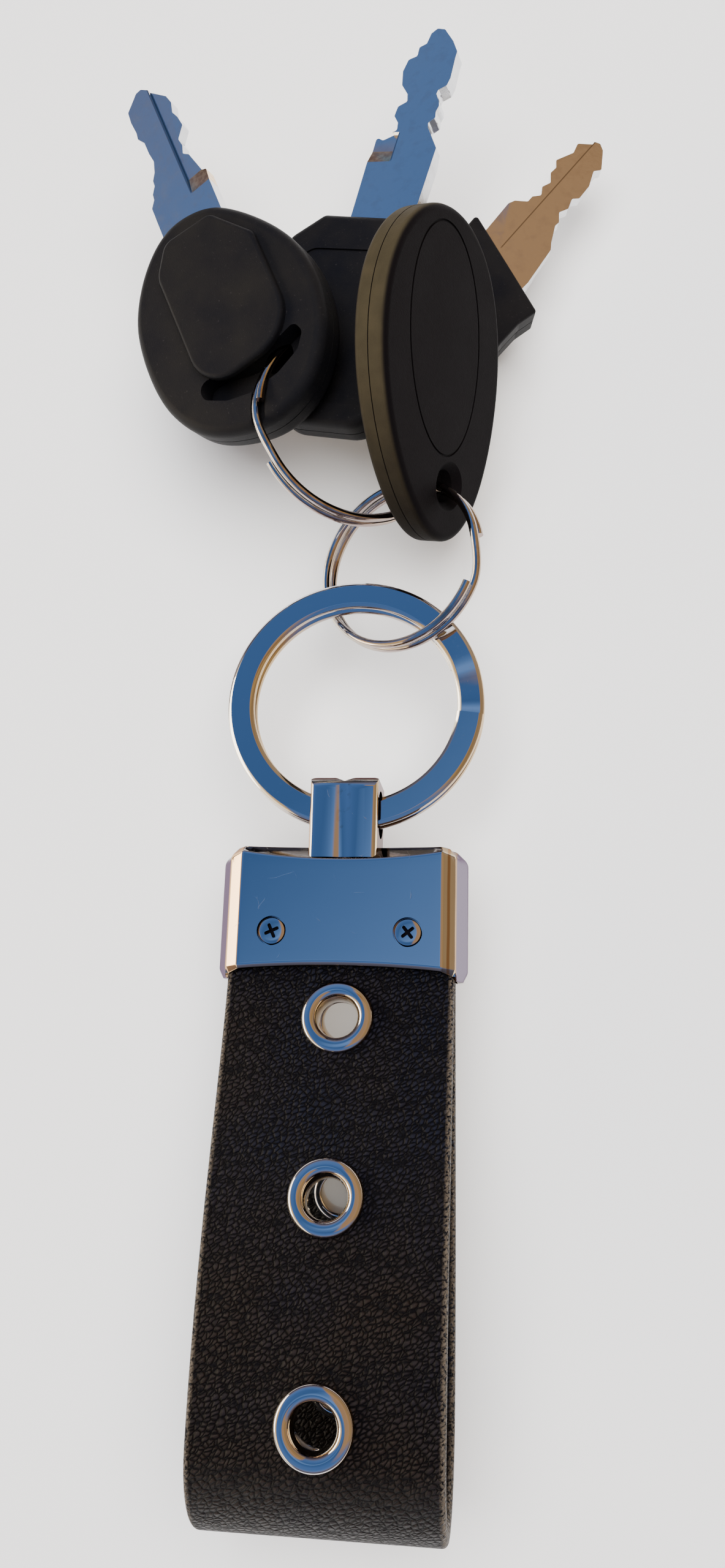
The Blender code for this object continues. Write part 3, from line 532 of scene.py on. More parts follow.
for word, side in (("front", 1), ("rear", -1)):
    for number, place in enumerate(eyelet_places, start=1):
        drop = strap_thickness + (0.17 if number == 1 else 0.66) * mm
        eyelet = spun(f"{word}_rolled_eyelet_{number}", eyelet_profile(-drop), ply_frame(-place, side))
        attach(eyelet, "strap_and_clamp")
        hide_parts(f"{word}_eyelet_{number}")
        if number > 1:
            recolour(f"{word}_washer_{number}", chrome)


# Clamp
# A chrome-plated zinc casting: a flat-faced cap with bevelled sides that closes over the strap's ends,
# with a grooved post on top, bored through for the ring.
clamp_width = 27.8 * mm
clamp_thickness = 7.5 * mm
bevel_across = 2.7 * mm
cavity_low, cavity_high = 1.25 * mm, 6.25 * mm
cavity_half = 12.75 * mm
cavity_floor = 5.1 * mm
post_half = 3.85 * mm
post_edge = 0.55 * mm
post_top = 15.5 * mm
post_hole_y = 11.55 * mm
post_hole_radius = 2.75 * mm
clamp_half = clamp_width / 2
flat_half = clamp_half - bevel_across
shoulder_in, shoulder_down = 1.3 * mm, 0.9 * mm
cheek_down = 3.3 * mm


def round_corners(corners, radii, steps=8):
    outline = []
    count = len(corners)
    for index, radius in enumerate(radii):
        here = Vector(corners[index])
        back = (Vector(corners[index - 1]) - here).normalized()
        on = (Vector(corners[(index + 1) % count]) - here).normalized()
        if radius == 0:
            outline.append(tuple(here))
            continue
        half = back.angle(on) / 2
        centre = here + (back + on).normalized() * radius / sin(half)
        start = here + back * radius / tan(half) - centre
        end = here + on * radius / tan(half) - centre
        turn = start.angle_signed(end)
        for step in range(steps + 1):
            angle = -turn * step / steps
            outline.append((centre.x + start.x * cos(angle) - start.y * sin(angle),
                            centre.y + start.x * sin(angle) + start.y * cos(angle)))
    return outline


def points_mm(pairs):
    return [(x * mm, y * mm) for x, y in pairs]


def shaped(pairs, radii, steps):
    """A rounded outline from corners and radii in mm."""
    return round_corners(points_mm(pairs), [radius * mm for radius in radii], steps)


def clamp_end(x, z, end):
    """How the body ends at one point of its section: pairs of height and depth under the surface."""
    face = min(max((abs(z - clamp_middle) - 2.0 * mm) / (1.75 * mm), 0.0), 1.0)
    bow = max(1 - (x / flat_half) ** 2, 0.0) * face
    if end > 0:
        stop = 0.0
        pull = depth = (1.4 - 0.65 * face + 0.88 * bow) * mm
        bend, turn = (1.2 - 0.7 * face) * mm, (1.0 - 0.7 * face) * mm
    else:
        stop, pull, depth = (0.85 * face + 0.5 * bow) * mm, (1.0 - 0.6 * face) * mm, (0.5 - 0.18 * face) * mm
        bend, turn = (0.8 - 0.4 * face) * mm, 0.1 * mm
    corners = [(-pull - 1.2 * mm, 0), (-pull, 0), (0, depth), (0, depth + 1.0 * mm)]
    line = round_corners(corners, [0, bend, turn, 0], 4)[:-1]
    return [(end * (clamp_top - stop + y), deep) for y, deep in line]


cast_chrome = Finish("cast_chrome", chrome_colour, 0.05, 1.0)
cast_place = cast_chrome.place()
cast_across = cast_chrome.axis(cast_place, "X")
cast_up = cast_chrome.axis(cast_place, "Y")
scratch_place = cast_chrome.shifted(cast_place, cast_chrome.noise(240.0, 1.0, "Color"), 0.004)
scratch = cast_chrome.cells(scratch_place, 260.0, "DISTANCE_TO_EDGE", Randomness=1.0)
scratch_line = cast_chrome.ramp(scratch, (0.0, 1.0), (0.012, 0.0))
scratch_patch = cast_chrome.ramp(cast_chrome.noise(420.0, 2.0), (0.60, 0.0), (0.66, 1.0))
scratches = scratch_line * scratch_patch
cast_dust = cast_chrome.ramp(cast_chrome.noise(2600.0, 3.0), (0.64, 0.0), (0.74, 1.0))
cast_smear = cast_chrome.noise(200.0, 3.0)
cast_chrome.set("Roughness", 0.022 + 0.05 * cast_smear + 0.10 * cast_dust + 0.35 * scratches)
cast_chrome.bump(cast_chrome.noise(150.0, 1.0) * 0.9 - 0.5 * scratches, 0.02 * mm, 0.35)
worn_patch = cast_chrome.ramp(cast_chrome.noise(900.0, 4.0), (0.54, 0.0), (0.62, 1.0))
worn_band = cast_chrome.ramp((cast_up - 8.2 * mm) * 110.0, (0.0, 0.0), (0.08, 0.3), (0.62, 0.3), (0.72, 1.0))
worn_groove = cast_chrome.ramp(1.0 - abs(cast_across) * 1100.0, (0.0, 0.0), (0.5, 1.0))
cast_colour = cast_chrome.blend(worn_patch * worn_band * worn_groove, chrome_colour, (0.50, 0.36, 0.22))
# Painted reflection: the outer cheeks of the casting are coloured mauve, standing in for the dim low
# surroundings they reflect.
cheek_painted_reflection = cast_chrome.ramp((abs(cast_across) - 12.66 * mm) * 9000.0, (0.0, 0.0), (1.0, 1.0))
# Painted reflection: brown stripes across the right bevel stand in for stripes of the room that it reflects.
reflection_stripe_place = cast_across * 1000.0 + 0.12 * cast_chrome.noise(160.0, 1.0) - 11.75
painted_reflection_stripes = cast_chrome.ramp(reflection_stripe_place, (0.0, 0.0), (0.10, 1.0), (0.30, 1.0), (0.40, 0.0), (0.86, 0.0),
                          (0.92, 1.0))
# Painted reflection: steep faces are coloured by the way they face, dark, pale gold to the right and
# orange-gold to the left.
cast_colour = cast_chrome.painted_reflection_tint(cast_colour, (0.10, 0.07, 0.05), (0.98, 0.80, 0.50), (0.82, 0.54, 0.28))
cast_colour = cast_chrome.blend(0.75 * painted_reflection_stripes, cast_colour, (0.36, 0.20, 0.09))
# Painted reflection: the left bevel is coloured gold, standing in for the warm room that it reflects.
left_bevel_painted_reflection = cast_chrome.ramp(cast_across * -1000.0 - 11.15, (0.0, 0.0), (0.15, 1.0))
cast_colour = cast_chrome.blend(0.85 * left_bevel_painted_reflection, cast_colour, (0.80, 0.54, 0.29))
cast_chrome.set("Base Color", cast_chrome.blend(cheek_painted_reflection, cast_colour, (0.24, 0.21, 0.26)))
cast_chrome.set("Specular Tint", (0.38, 0.34, 0.38, 1.0))
right_side = [(flat_half, 0), (clamp_half - shoulder_in, shoulder_down), (clamp_half, cheek_down)]
right_side += [(x, clamp_thickness - z) for x, z in reversed(right_side)]
side_radii = [0.7 * mm, 0.5 * mm, 1.0 * mm, 1.0 * mm, 0.5 * mm, 0.7 * mm]
clamp_section = round_corners(right_side + [(-x, z) for x, z in reversed(right_side)],
                              side_radii + side_radii[::-1], 6)
clamp_line = []
for (x, z), (next_x, next_z) in zip(clamp_section, clamp_section[1:] + clamp_section[:1]):
    parts = max(ceil((Vector((next_x, next_z)) - Vector((x, z))).length / (0.9 * mm)), 1)
    clamp_line += [(x + (next_x - x) * part / parts, z + (next_z - z) * part / parts)
                   for part in range(parts)]
clamp_rings = []
for x, z in clamp_line:
    spine_x = min(max(x, clamp_middle - clamp_half), clamp_half - clamp_middle)
    inward = Vector((spine_x - x, clamp_middle - z)).normalized()
    low = [(x + inward.x * deep, y, z + inward.y * deep) for y, deep in clamp_end(x, z, -1)]
    high = [(x + inward.x * deep, y, z + inward.y * deep) for y, deep in clamp_end(x, z, 1)]
    inner_x, inner_z = min(max(x, -cavity_half), cavity_half), min(max(z, cavity_low), cavity_high)
    mouth = [(inner_x, cavity_floor, inner_z), (inner_x, low[-1][1], inner_z)]
    clamp_rings.append(mouth + low[::-1] + high)
clamp_shape = bmesh.new()
clamp_columns = [[clamp_shape.verts.new(spot) for spot in ring] for ring in clamp_rings]
for column, following in zip(clamp_columns, clamp_columns[1:] + clamp_columns[:1]):
    for step in range(len(column) - 1):
        clamp_shape.faces.new((column[step], column[step + 1], following[step + 1], following[step]))
clamp_shape.faces.new([column[0] for column in clamp_columns])
clamp_shape.faces.new([column[-1] for column in clamp_columns])
clamp = show("clamp", mesh_of("clamp", clamp_shape), cast_chrome)
stand = Matrix(((1, 0, 0, 0), (0, 0, 1, 0), (0, 1, 0, 0), (0, 0, 0, 1)))
sideways = Matrix(((0, 0, 1, 0), (1, 0, 0, 0), (0, 1, 0, 0), (0, 0, 0, 1)))


def post_face(x):
    """Half the post's thickness: two low lobes, a soft valley between them, rounded outer edges."""
    drop = post_edge - min(post_half - abs(x), post_edge)
    rounding = post_edge - (max(post_edge ** 2 - drop ** 2, 0.0)) ** 0.5
    valley, droop = 0.2 * mm * exp(-(x / (0.9 * mm)) ** 2), 0.12 * mm * (abs(x) / post_half) ** 4
    return 3.6 * mm - valley - droop - rounding


post_steps = [(post_half - post_edge) * i / 16 for i in range(17)]
post_steps += [post_half - post_edge * (1 - sin(pi / 2 * i / 6)) for i in range(1, 7)]
post_steps = [-x for x in reversed(post_steps)] + post_steps[1:]
post_section = [(x, clamp_middle - post_face(x)) for x in post_steps]
post_section += [(x, clamp_middle + post_face(x)) for x in reversed(post_steps)]
post = show("post", mesh_of("post", prism(post_section, 6.0 * mm, post_top + 0.5 * mm, stand)))
# The post's outline from the front, with a small notch in its top, and from the side, rounded above.
post_front = [(post_half + 1.0 * mm, 5.0 * mm), (post_half + 1.0 * mm, post_top - 0.9 * mm),
              (post_half - 0.7 * mm, post_top), (1.4 * mm, post_top)]
post_front = [(-post_half - 1.0 * mm, 5.0 * mm)] + post_front + [(0, post_top - 0.7 * mm)] + [
    (-x, y) for x, y in reversed(post_front[1:])]
post_front_radii = [0, 0, 0, 1.0 * mm, 0.9 * mm, 0.2 * mm, 0.9 * mm, 1.0 * mm, 0]
carve(post, prism(round_corners(post_front, post_front_radii, 5), -1.0 * mm, 9.0 * mm), "INTERSECT")
post_side = [(5.0 * mm, 0.15 * mm), (post_top, 0.15 * mm), (post_top, clamp_thickness - 0.15 * mm),
             (5.0 * mm, clamp_thickness - 0.15 * mm)]
carve(post, prism(round_corners(post_side, [0, 1.9 * mm, 1.9 * mm, 0], 12), -6.0 * mm, 6.0 * mm, sideways),
      "INTERSECT")
post_solid = bmesh.new()
post_solid.from_mesh(post.data)
bpy.data.objects.remove(post, do_unlink=True)
carve(clamp, post_solid, "UNION")
bore = Matrix.Translation((0, post_hole_y, clamp_middle)) @ Matrix.Rotation(radians(90), 4, "Y")
carve(clamp, prism(disc_outline(post_hole_radius, 40), -5.0 * mm, 5.0 * mm, bore))
for radius, steps, bottom in ((1.62 * mm, 32, clamp_thickness - 0.9 * mm), (screw_clearance, 24, 5.0 * mm)):
    for x in screw_places:
        carve(clamp, prism(disc_outline(radius, steps, (x, screw_y)), bottom, 9.0 * mm))
dress(clamp, cast_chrome, 30)
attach(clamp, "strap_and_clamp")
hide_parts("clamp_shell")


# Screws and filler plate
# Two small cross-head machine screws, plated, darker, rougher and bumpy inside the cross, and the steel plate
# between the strap's ends that they go through.
screw_colour = (0.70, 0.72, 0.76)
cross_head_steel = Finish("worn_screw_steel", screw_colour, 0.1, 1.0)
screw_depth = cross_head_steel.axis(cross_head_steel.place(), "Z")
chewed = cross_head_steel.noise(3400.0, 3.0)
# Darker and rougher deeper inside the cross.
in_cross = cross_head_steel.ramp((7.16 * mm - screw_depth) * 6000.0 + (chewed - 0.5) * 0.8, (0.0, 0.0), (1.0, 1.0))
cross_head_steel.set("Base Color", cross_head_steel.blend(in_cross, screw_colour, (0.045, 0.042, 0.045)))
cross_head_steel.set("Roughness", 0.08 + 0.42 * in_cross)
cross_head_steel.bump(chewed * in_cross, 0.12 * mm, 0.9)
screw_profile = [(0.001, 0.12), (0.9, 0.13), (1.30, 0.17), (1.42, 0.22), (1.48, 0.34), (1.48, 0.74),
                 (0.9, 0.75), (0.9, 5.9), (0.001, 5.9)]
screw_profile = [(radius, clamp_thickness - depth) for radius, depth in points_mm(screw_profile)]
cross_arm = [(-0.86, -0.12), (-0.7, -0.2), (0.7, -0.18), (0.86, -0.1), (0.84, 0.14), (0.7, 0.2), (-0.7, 0.18),
             (-0.82, 0.12)]
for word, x, turn in (("left", screw_places[0], 24), ("right", screw_places[1], 38)):
    screw_frame = Matrix.Translation((x, screw_y, 0)) @ Matrix.Rotation(radians(turn), 4, "Z")
    screw = spun(f"cross_head_screw_{word}", screw_profile, screw_frame, 40, cross_head_steel)
    for quarter in (0, 90):
        arm_frame = screw_frame @ Matrix.Rotation(radians(quarter), 4, "Z")
        carve(screw, prism(points_mm(cross_arm), clamp_thickness - 0.65 * mm, clamp_thickness + 1.0 * mm,
                           arm_frame))
    dress(screw, cross_head_steel, 30)
    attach(screw, "strap_and_clamp")
    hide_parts(f"clamp_screw_{word}")
plate_steel = Finish("rolled_plate_steel", (0.5, 0.5, 0.5), 0.35, 1.0)
plate_steel.bump(plate_steel.noise(900.0, 2.0), 0.03 * mm, 0.5)
recolour("clamp_filler_plate", plate_steel)


# Split rings
# A flat-strip ring and two wire rings, each two turns of spring steel, chrome plated,
# with a joggle where the strip crosses from one turn to the other.
def two_turn_path(radius, pitch, cross_start, cross_turn, steps):
    start = cross_start - cross_turn
    whole = 2 * pi - cross_turn
    total = 2 * whole + cross_turn
    count = ceil(steps * total / (2 * pi))
    path = []
    for step in range(count + 1):
        gone = total * step / count
        share = min(max((gone - whole) / cross_turn, 0.0), 1.0)
        height = pitch / 2 * cos(pi * share)
        path.append(Vector((radius * cos(start - gone), radius * sin(start - gone), height)))
    return path


def line_curve(name, spots, closed):
    """A curve object of straight pieces: a closed flat section, or an open route in space."""
    curve = bpy.data.curves.new(name, "CURVE")
    curve.dimensions = "2D" if closed else "3D"
    line = curve.splines.new("POLY")
    line.points.add(len(spots) - 1)
    for point, spot in zip(line.points, spots):
        point.co = (*spot, 1)
    line.use_cyclic_u = closed
    return show(name, curve)


def swept_ring(name, path, section, place, bevel, finish):
    """A closed section swept along the path, both ends capped square and slightly broken."""
    guide = line_curve(name + "_section", [(x, y, 0) for x, y in section], True)
    holder = line_curve(name, path, False)
    holder.data.twist_mode = "Z_UP"
    holder.data.use_fill_caps = True
    holder.data.bevel_mode = "OBJECT"
    holder.data.bevel_object = guide
    graph = bpy.context.evaluated_depsgraph_get()
    swept = bpy.data.meshes.new_from_object(holder.evaluated_get(graph))
    bpy.data.objects.remove(holder, do_unlink=True)
    bpy.data.objects.remove(guide, do_unlink=True)
    shape = bmesh.new()
    shape.from_mesh(swept)
    bmesh.ops.remove_doubles(shape, verts=shape.verts, dist=0.001 * mm)
    caps = [face for face in shape.faces if len(face.verts) > 4]
    if bevel:
        rims = list({edge for face in caps for edge in face.edges})
        bmesh.ops.bevel(shape, geom=rims, offset=bevel, offset_type="OFFSET", segments=2, profile=0.5,
                        affect="EDGES", clamp_overlap=True, material=-1)
    put(shape, place)
    ring = show(name, mesh_of(name, shape, 30))
    dress(ring, finish, 30)
    return ring


big_ring_radius, strip_pitch, strip_break = 13.5 * mm, 1.62 * mm, 0.12 * mm
wire_thickness, wire_pitch, wire_break = 1.0 * mm, 1.42 * mm, 0.08 * mm
strip_corner = [(1.1, 0.6), (1.5, 0.34), (1.6, 0.1)]
strip_half = strip_corner + [(x, -z) for x, z in reversed(strip_corner)]
strip_section = shaped(strip_half + [(-x, z) for x, z in reversed(strip_half)], [0.14] * 12, 3)[::-1]
big_ring_path = two_turn_path(big_ring_radius, strip_pitch, radians(22), radians(28), 128)
big_ring = swept_ring("flat_split_ring", big_ring_path, strip_section,
                      Matrix.Translation((0.55 * mm, 24.85 * mm, clamp_middle)), strip_break, chrome)
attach(big_ring, "big_ring")
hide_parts("big_split_ring")

link_place = Matrix.Translation((5.6 * mm, 42.2 * mm, 4.6 * mm)) @ Matrix.Rotation(radians(-25), 4, "Y")
key_ring_place = Matrix.Translation((-0.7 * mm, 59.3 * mm, 7.25 * mm)) @ Matrix.Rotation(radians(32), 4, "Y")
wire_chrome = Finish("plated_spring_wire", (0.60, 0.56, 0.54), 0.1, 1.0)
# Partly painted reflection: rubbed patches of the wire are rougher, and their brown tint stands in for
# reflected brown surroundings. The sides also get the painted reflection tint.
wire_rub_and_painted_reflection = wire_chrome.ramp(wire_chrome.noise(420.0, 4.0), (0.48, 0.0), (0.62, 1.0))
wire_colour = wire_chrome.blend(wire_rub_and_painted_reflection, (0.62, 0.61, 0.62), (0.50, 0.41, 0.33))
wire_chrome.set("Base Color", wire_chrome.painted_reflection_tint(wire_colour, (0.36, 0.29, 0.27), (0.40, 0.30, 0.22),
                                                      (0.66, 0.60, 0.48)))
wire_chrome.set("Roughness", 0.06 + 0.12 * wire_rub_and_painted_reflection)
wire_chrome.bump(wire_chrome.noise(1800.0, 2.0), 0.012 * mm, 0.5)
wire_section = disc_outline(wire_thickness / 2, 16)[::-1]
for name, node, body, outer, cross, place in (
        ("wire_link_ring", "link_split_ring", "link_ring", 21.5 * mm, 10, link_place),
        ("wire_key_ring", "key_split_ring", "key_ring", 25.0 * mm, 215, key_ring_place)):
    path = two_turn_path((outer - wire_thickness) / 2, wire_pitch, radians(cross), radians(35), 110)
    wire_ring = swept_ring(name, path, wire_section, place, wire_break, wire_chrome)
    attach(wire_ring, body)
    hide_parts(node)


# Oval tag
# A sealed access tag: two matte black moulded shells that meet in a parting line round the edge,
# with a fine engraved oval on the show face and an eye at the narrow end.
tag_length = 37.2 * mm
tag_width = 24.3 * mm
tag_thickness = 4.4 * mm
tag_eye_inset = 6.5 * mm
tag_taper = -0.16
parting = 0.06 * mm
tag_place = facing(Vector((0.868525, -0.279525, 0.409305)), Vector((0.0, 0.827, 0.562)),
                   Vector((9.534, 51.537, 6.436)) * mm)
tag_centre = tag_length / 2 - tag_eye_inset


def egg(length, width, taper, steps, centre=0.0):
    return [(width / 2 * cos(2 * pi * i / steps) * (1 - taper * sin(2 * pi * i / steps)),
             centre + length / 2 * sin(2 * pi * i / steps)) for i in range(steps)]


def crowned(outline, height, rounding, segments, low):
    """A shell half with a rounded show edge, standing from low up to its height."""
    shape = prism(outline, low, height)
    rims = [edge for edge in shape.edges if all(abs(vert.co.z - height) < 0.001 * mm for vert in edge.verts)]
    bmesh.ops.bevel(shape, geom=rims, offset=rounding, offset_type="OFFSET", segments=segments,
                    profile=0.5, affect="EDGES", clamp_overlap=True, material=-1)
    return shape


def moulded(name, colour, light, shine, sheen):
    """Matte moulded plastic with a fine spark-eroded grain, dust and rubbed, lighter patches."""
    finish = Finish(name, colour, shine)
    grain = finish.noise(6200.0, 2.0)
    worn = finish.noise(160.0, 4.0)
    dust = finish.ramp(finish.noise(3600.0, 4.0), (0.66, 0.0), (0.74, 1.0))
    finish.bump(grain + 0.5 * finish.noise(1500.0, 2.0), 0.028 * mm, 0.7)
    finish.set("Roughness", (shine - 0.06) + 0.12 * worn + 0.08 * grain)
    rubbed = finish.blend(finish.ramp(worn, (0.35, 0.0), (0.75, 1.0)), colour, light)
    finish.set("Base Color", finish.blend(0.12 * dust, rubbed, (0.11, 0.10, 0.09)))
    finish.set("Specular IOR Level", sheen)
    return finish


def along_axis(finish, matrix, column):
    """A place's distance in mm along one axis of a piece's own frame."""
    axis = matrix.col[column].xyz * 1000
    return finish.dot(finish.place(), axis) - axis.dot(matrix.translation)


tag_plastic = moulded("tag_black_plastic", (0.0048, 0.0040, 0.0042), (0.0085, 0.0070, 0.0062), 0.52, 0.03)
tag_faced = abs(tag_plastic.dot(tag_plastic.facing(), tag_place.col[2].xyz))
tag_rise = abs(along_axis(tag_plastic, tag_place, 2))
tag_from_eye = tag_plastic.vector_node("DISTANCE", tag_plastic.place(), tag_place.translation, "Value")
# Painted light: the tag's side walls, away from the eye and fading along the tag, are coloured olive-brown as
# if lit by warm light from the left.
tag_wall_painted_light = tag_plastic.ramp(tag_faced, (0.35, 1.0), (0.80, 0.0))
tag_wall_painted_light = tag_wall_painted_light * tag_plastic.ramp((2.06 - tag_rise) * 4.0, (0.0, 0.0), (1.0, 1.0))
tag_wall_painted_light = tag_wall_painted_light * tag_plastic.ramp((tag_from_eye - 4.0 * mm) * 1500.0, (0.0, 0.0), (1.0, 1.0))
tag_wall_light_fade = (along_axis(tag_plastic, tag_place, 1) + 6.0) * 0.045
tag_wall_painted_light = tag_wall_painted_light * tag_plastic.ramp(tag_wall_light_fade, (0.0, 0.12), (0.8, 1.0))
tag_plastic.set("Base Color", tag_plastic.blend(tag_wall_painted_light * (0.45 + 0.55 * tag_plastic.noise(420.0, 5.0)),
                                                (0.0042, 0.0034, 0.0037), (0.046, 0.037, 0.021)))
for word, side in (("front", 1), ("rear", -1)):
    tag_seat = tag_place @ Matrix.Scale(side, 4, (0, 0, 1))
    half_tag = crowned(egg(tag_length, tag_width, tag_taper, 112, tag_centre), tag_thickness / 2, 0.9 * mm, 6,
                       parting)
    put(half_tag, tag_seat)
    tag_half = show(f"tag_{word}_half", mesh_of("tag_half", half_tag), tag_plastic)
    carve(tag_half, prism(disc_outline(1.95 * mm, 40), -5.0 * mm, 5.0 * mm, tag_place))
    funnel = bmesh.new()
    bmesh.ops.create_cone(funnel, cap_ends=True, segments=40, radius1=1.9 * mm, radius2=3.1 * mm,
                          depth=1.2 * mm)
    put(funnel, tag_seat @ Matrix.Translation((0, 0, 1.85 * mm)))
    carve(tag_half, funnel)
    if side == 1:
        ring = prism(egg(25.6 * mm, 14.6 * mm, -0.04, 112, tag_centre + 4.1 * mm), 2.02 * mm, 3.0 * mm)
        inside = prism(egg(25.1 * mm, 14.1 * mm, -0.04, 112, tag_centre + 4.1 * mm), 1.0 * mm, 4.0 * mm)
        oval_tool = show("oval_tool", mesh_of("oval_tool", ring))
        carve(oval_tool, inside)
        engraved = bmesh.new()
        engraved.from_mesh(oval_tool.data)
        put(engraved, tag_place)
        bpy.data.objects.remove(oval_tool, do_unlink=True)
        carve(tag_half, engraved)
    pocket = prism(disc_outline(9.2 * mm, 40, (0, tag_centre + 3.0 * mm)), -0.9 * mm, 0.9 * mm, tag_place)
    carve(tag_half, pocket)
    dress(tag_half, tag_plastic, 32)
    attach(tag_half, "tag")
    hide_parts(f"tag_{word}_shell")
winding = Finish("copper_winding", (0.62, 0.3, 0.16), 0.35, 1.0)
winding.bump(winding.noise(2500.0, 1.0), 0.05 * mm, 0.6)
recolour("tag_coil", winding)
recolour("tag_chip", tag_plastic)


# Key heads
# Each head is two moulded halves that clamp the blade's tang; the left one has a raised cover
# shaped like a tombstone. A slot or an eye lets the ring through.
head_plastic = moulded("key_head_plastic", (0.0045, 0.0045, 0.0058), (0.0088, 0.0080, 0.0076), 0.48, 0.09)
capsule = Finish("glass_capsule", (0.05, 0.05, 0.06), 0.12)
capsule.set("Roughness", 0.1 + 0.1 * capsule.noise(800.0))
key_ring_radius = 12.0 * mm
tang_slot = (9.1 * mm, 2.75 * mm)
tang_half = 1.15 * mm


def ring_passage(angle):
    """The bent round channel that the key ring's wire needs through a head."""
    wide, high, turn = 0.8 * mm, 1.51 * mm, radians(96)
    shape = bmesh.new()
    start = Matrix.Rotation(angle - turn / 2, 4, "Z")
    verts = [shape.verts.new(start @ Vector((key_ring_radius + wide * cos(2 * pi * i / 20), 0,
                                             high * sin(2 * pi * i / 20)))) for i in range(20)]
    mouth = shape.faces.new(verts)
    bmesh.ops.spin(shape, geom=[mouth], cent=(0, 0, 0), axis=(0, 0, 1), dvec=(0, 0, 0), angle=turn,
                   steps=28, use_duplicate=False)
    put(shape, key_ring_place)
    return shape


def key_head(word, outline, thickness, rounding, place, ring_angle, eyes, top):
    for shell, side, eye in (("front", 1, eyes[0]), ("rear", -1, eyes[-1])):
        shape = crowned(outline, thickness / 2, rounding, 7, parting)
        put(shape, place @ Matrix.Scale(side, 4, (0, 0, 1)))
        piece = show(f"{word}_head_{shell}_half", mesh_of("head_half", shape), head_plastic)
        carve(piece, prism(eye, -6.0 * mm, 6.0 * mm, place))
        carve(piece, ring_passage(ring_angle))
        width, depth = tang_slot
        carve(piece, prism([(-width / 2, top - depth), (width / 2, top - depth), (width / 2, top + 2.0 * mm),
                            (-width / 2, top + 2.0 * mm)], -tang_half, tang_half, place))
        round_edges(piece, 0.16 * mm, 2, 38)
        dress(piece, head_plastic, 34)
        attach(piece, f"{word}_key")
        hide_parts(f"{word}_key_{shell}_shell")
    recolour(f"{word}_key_pill", capsule)


def ring_place(angle):
    turn = radians(angle)
    return key_ring_place @ Vector((key_ring_radius * cos(turn), key_ring_radius * sin(turn), 0))


def smooth_loop(corners, steps=8):
    """A closed smooth line through all the corners."""
    spots = [Vector(corner) for corner in corners]
    count = len(spots)
    line = []
    for index in range(count):
        before, here, after, beyond = (spots[(index + shift) % count] for shift in (-1, 0, 1, 2))
        for step in range(steps):
            t = step / steps
            line.append(tuple(0.5 * (2 * here + (after - before) * t
                                     + (2 * before - 5 * here + 4 * after - beyond) * t * t
                                     + (3 * here - before - 3 * after + beyond) * t * t * t)))
    return line


left_place = facing(Vector((-0.35, -0.15, 0.925)), Vector((-0.39, 0.92, 0.0)), ring_place(145))
left_place = left_place @ Matrix.Translation(Vector((-3.15, 6.7, -0.1)) * mm)
left_top = 15.5 * mm
left_outline = smooth_loop(points_mm(
    [(-0.8, 17.3), (4.2, 15.3), (8.7, 9.7), (11.5, 3.6), (12.1, -2.8), (10.4, -9.0), (6.4, -13.5),
     (1.0, -15.1), (-4.3, -13.8), (-9.2, -10.5), (-12.2, -5.2), (-13.1, 1.0), (-12.3, 7.8), (-9.4, 13.0),
     (-5.2, 16.5)]))
slot_line = shaped(
    [(-7.1, -5.0), (-6.9, -7.2), (-4.2, -9.2), (-1.0, -10.3), (3.2, -10.3), (6.6, -9.3), (8.0, -7.6),
     (7.5, -5.9), (5.4, -6.3), (0.0, -6.9), (-4.4, -5.2)],
    [1.2, 1.2, 2.5, 3.0, 3.0, 1.6, 0.9, 0.9, 2.0, 4.0, 1.2], 6)
key_head("left", left_outline, 5.0 * mm, 1.3 * mm, left_place, radians(145),
         (slot_line, disc_outline(2.1 * mm, 32, (3.15 * mm, -6.7 * mm))), left_top)
cover_outline = shaped([(-6.3, -7.1), (7.6, -7.3), (7.6, 7.6), (3.4, 13.8), (-3.6, 14.6), (-6.3, 11.0)],
                       [5.2, 5.4, 1.6, 1.6, 2.0, 3.0], 10)
cover_shape = crowned(cover_outline, 3.5 * mm, 0.5 * mm, 4, 2.56 * mm)
put(cover_shape, left_place)
cover = show("left_head_cover", mesh_of("left_head_cover", cover_shape))
dress(cover, head_plastic, 38)
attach(cover, "left_key")
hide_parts("left_key_cover")

middle_place = facing(Vector((-0.25, 0.0, 0.97)), Vector((0.277, 0.961, 0.0)), ring_place(99))
middle_place = middle_place @ Matrix.Translation(Vector((0.95, 2.3, -0.3)) * mm)
middle_top = 13.5 * mm
middle_outline = shaped(
    [(-4.4, -14.6), (6.5, -14.8), (11.2, -6.0), (11.2, 8.6), (7.0, 13.5), (-7.6, 14.3), (-12.2, 10.6),
     (-11.4, -5.2)],
    [4.0, 4.0, 6.0, 3.0, 1.2, 1.2, 3.0, 6.0], 8)
key_head("middle", middle_outline, 4.6 * mm, 1.25 * mm, middle_place, radians(99),
         [disc_outline(2.0 * mm, 32, (-3.25 * mm, -2.3 * mm))], middle_top)

panel = prism(shaped([(-8.8, -12.0), (7.8, -12.0), (7.8, 8.6), (-8.8, 9.1)], [2.0] * 4, 6),
              2.06 * mm, 4.0 * mm, middle_place)
middle_front = bpy.data.objects["middle_head_front_half"]
carve(middle_front, panel)
dress(middle_front, head_plastic, 34)

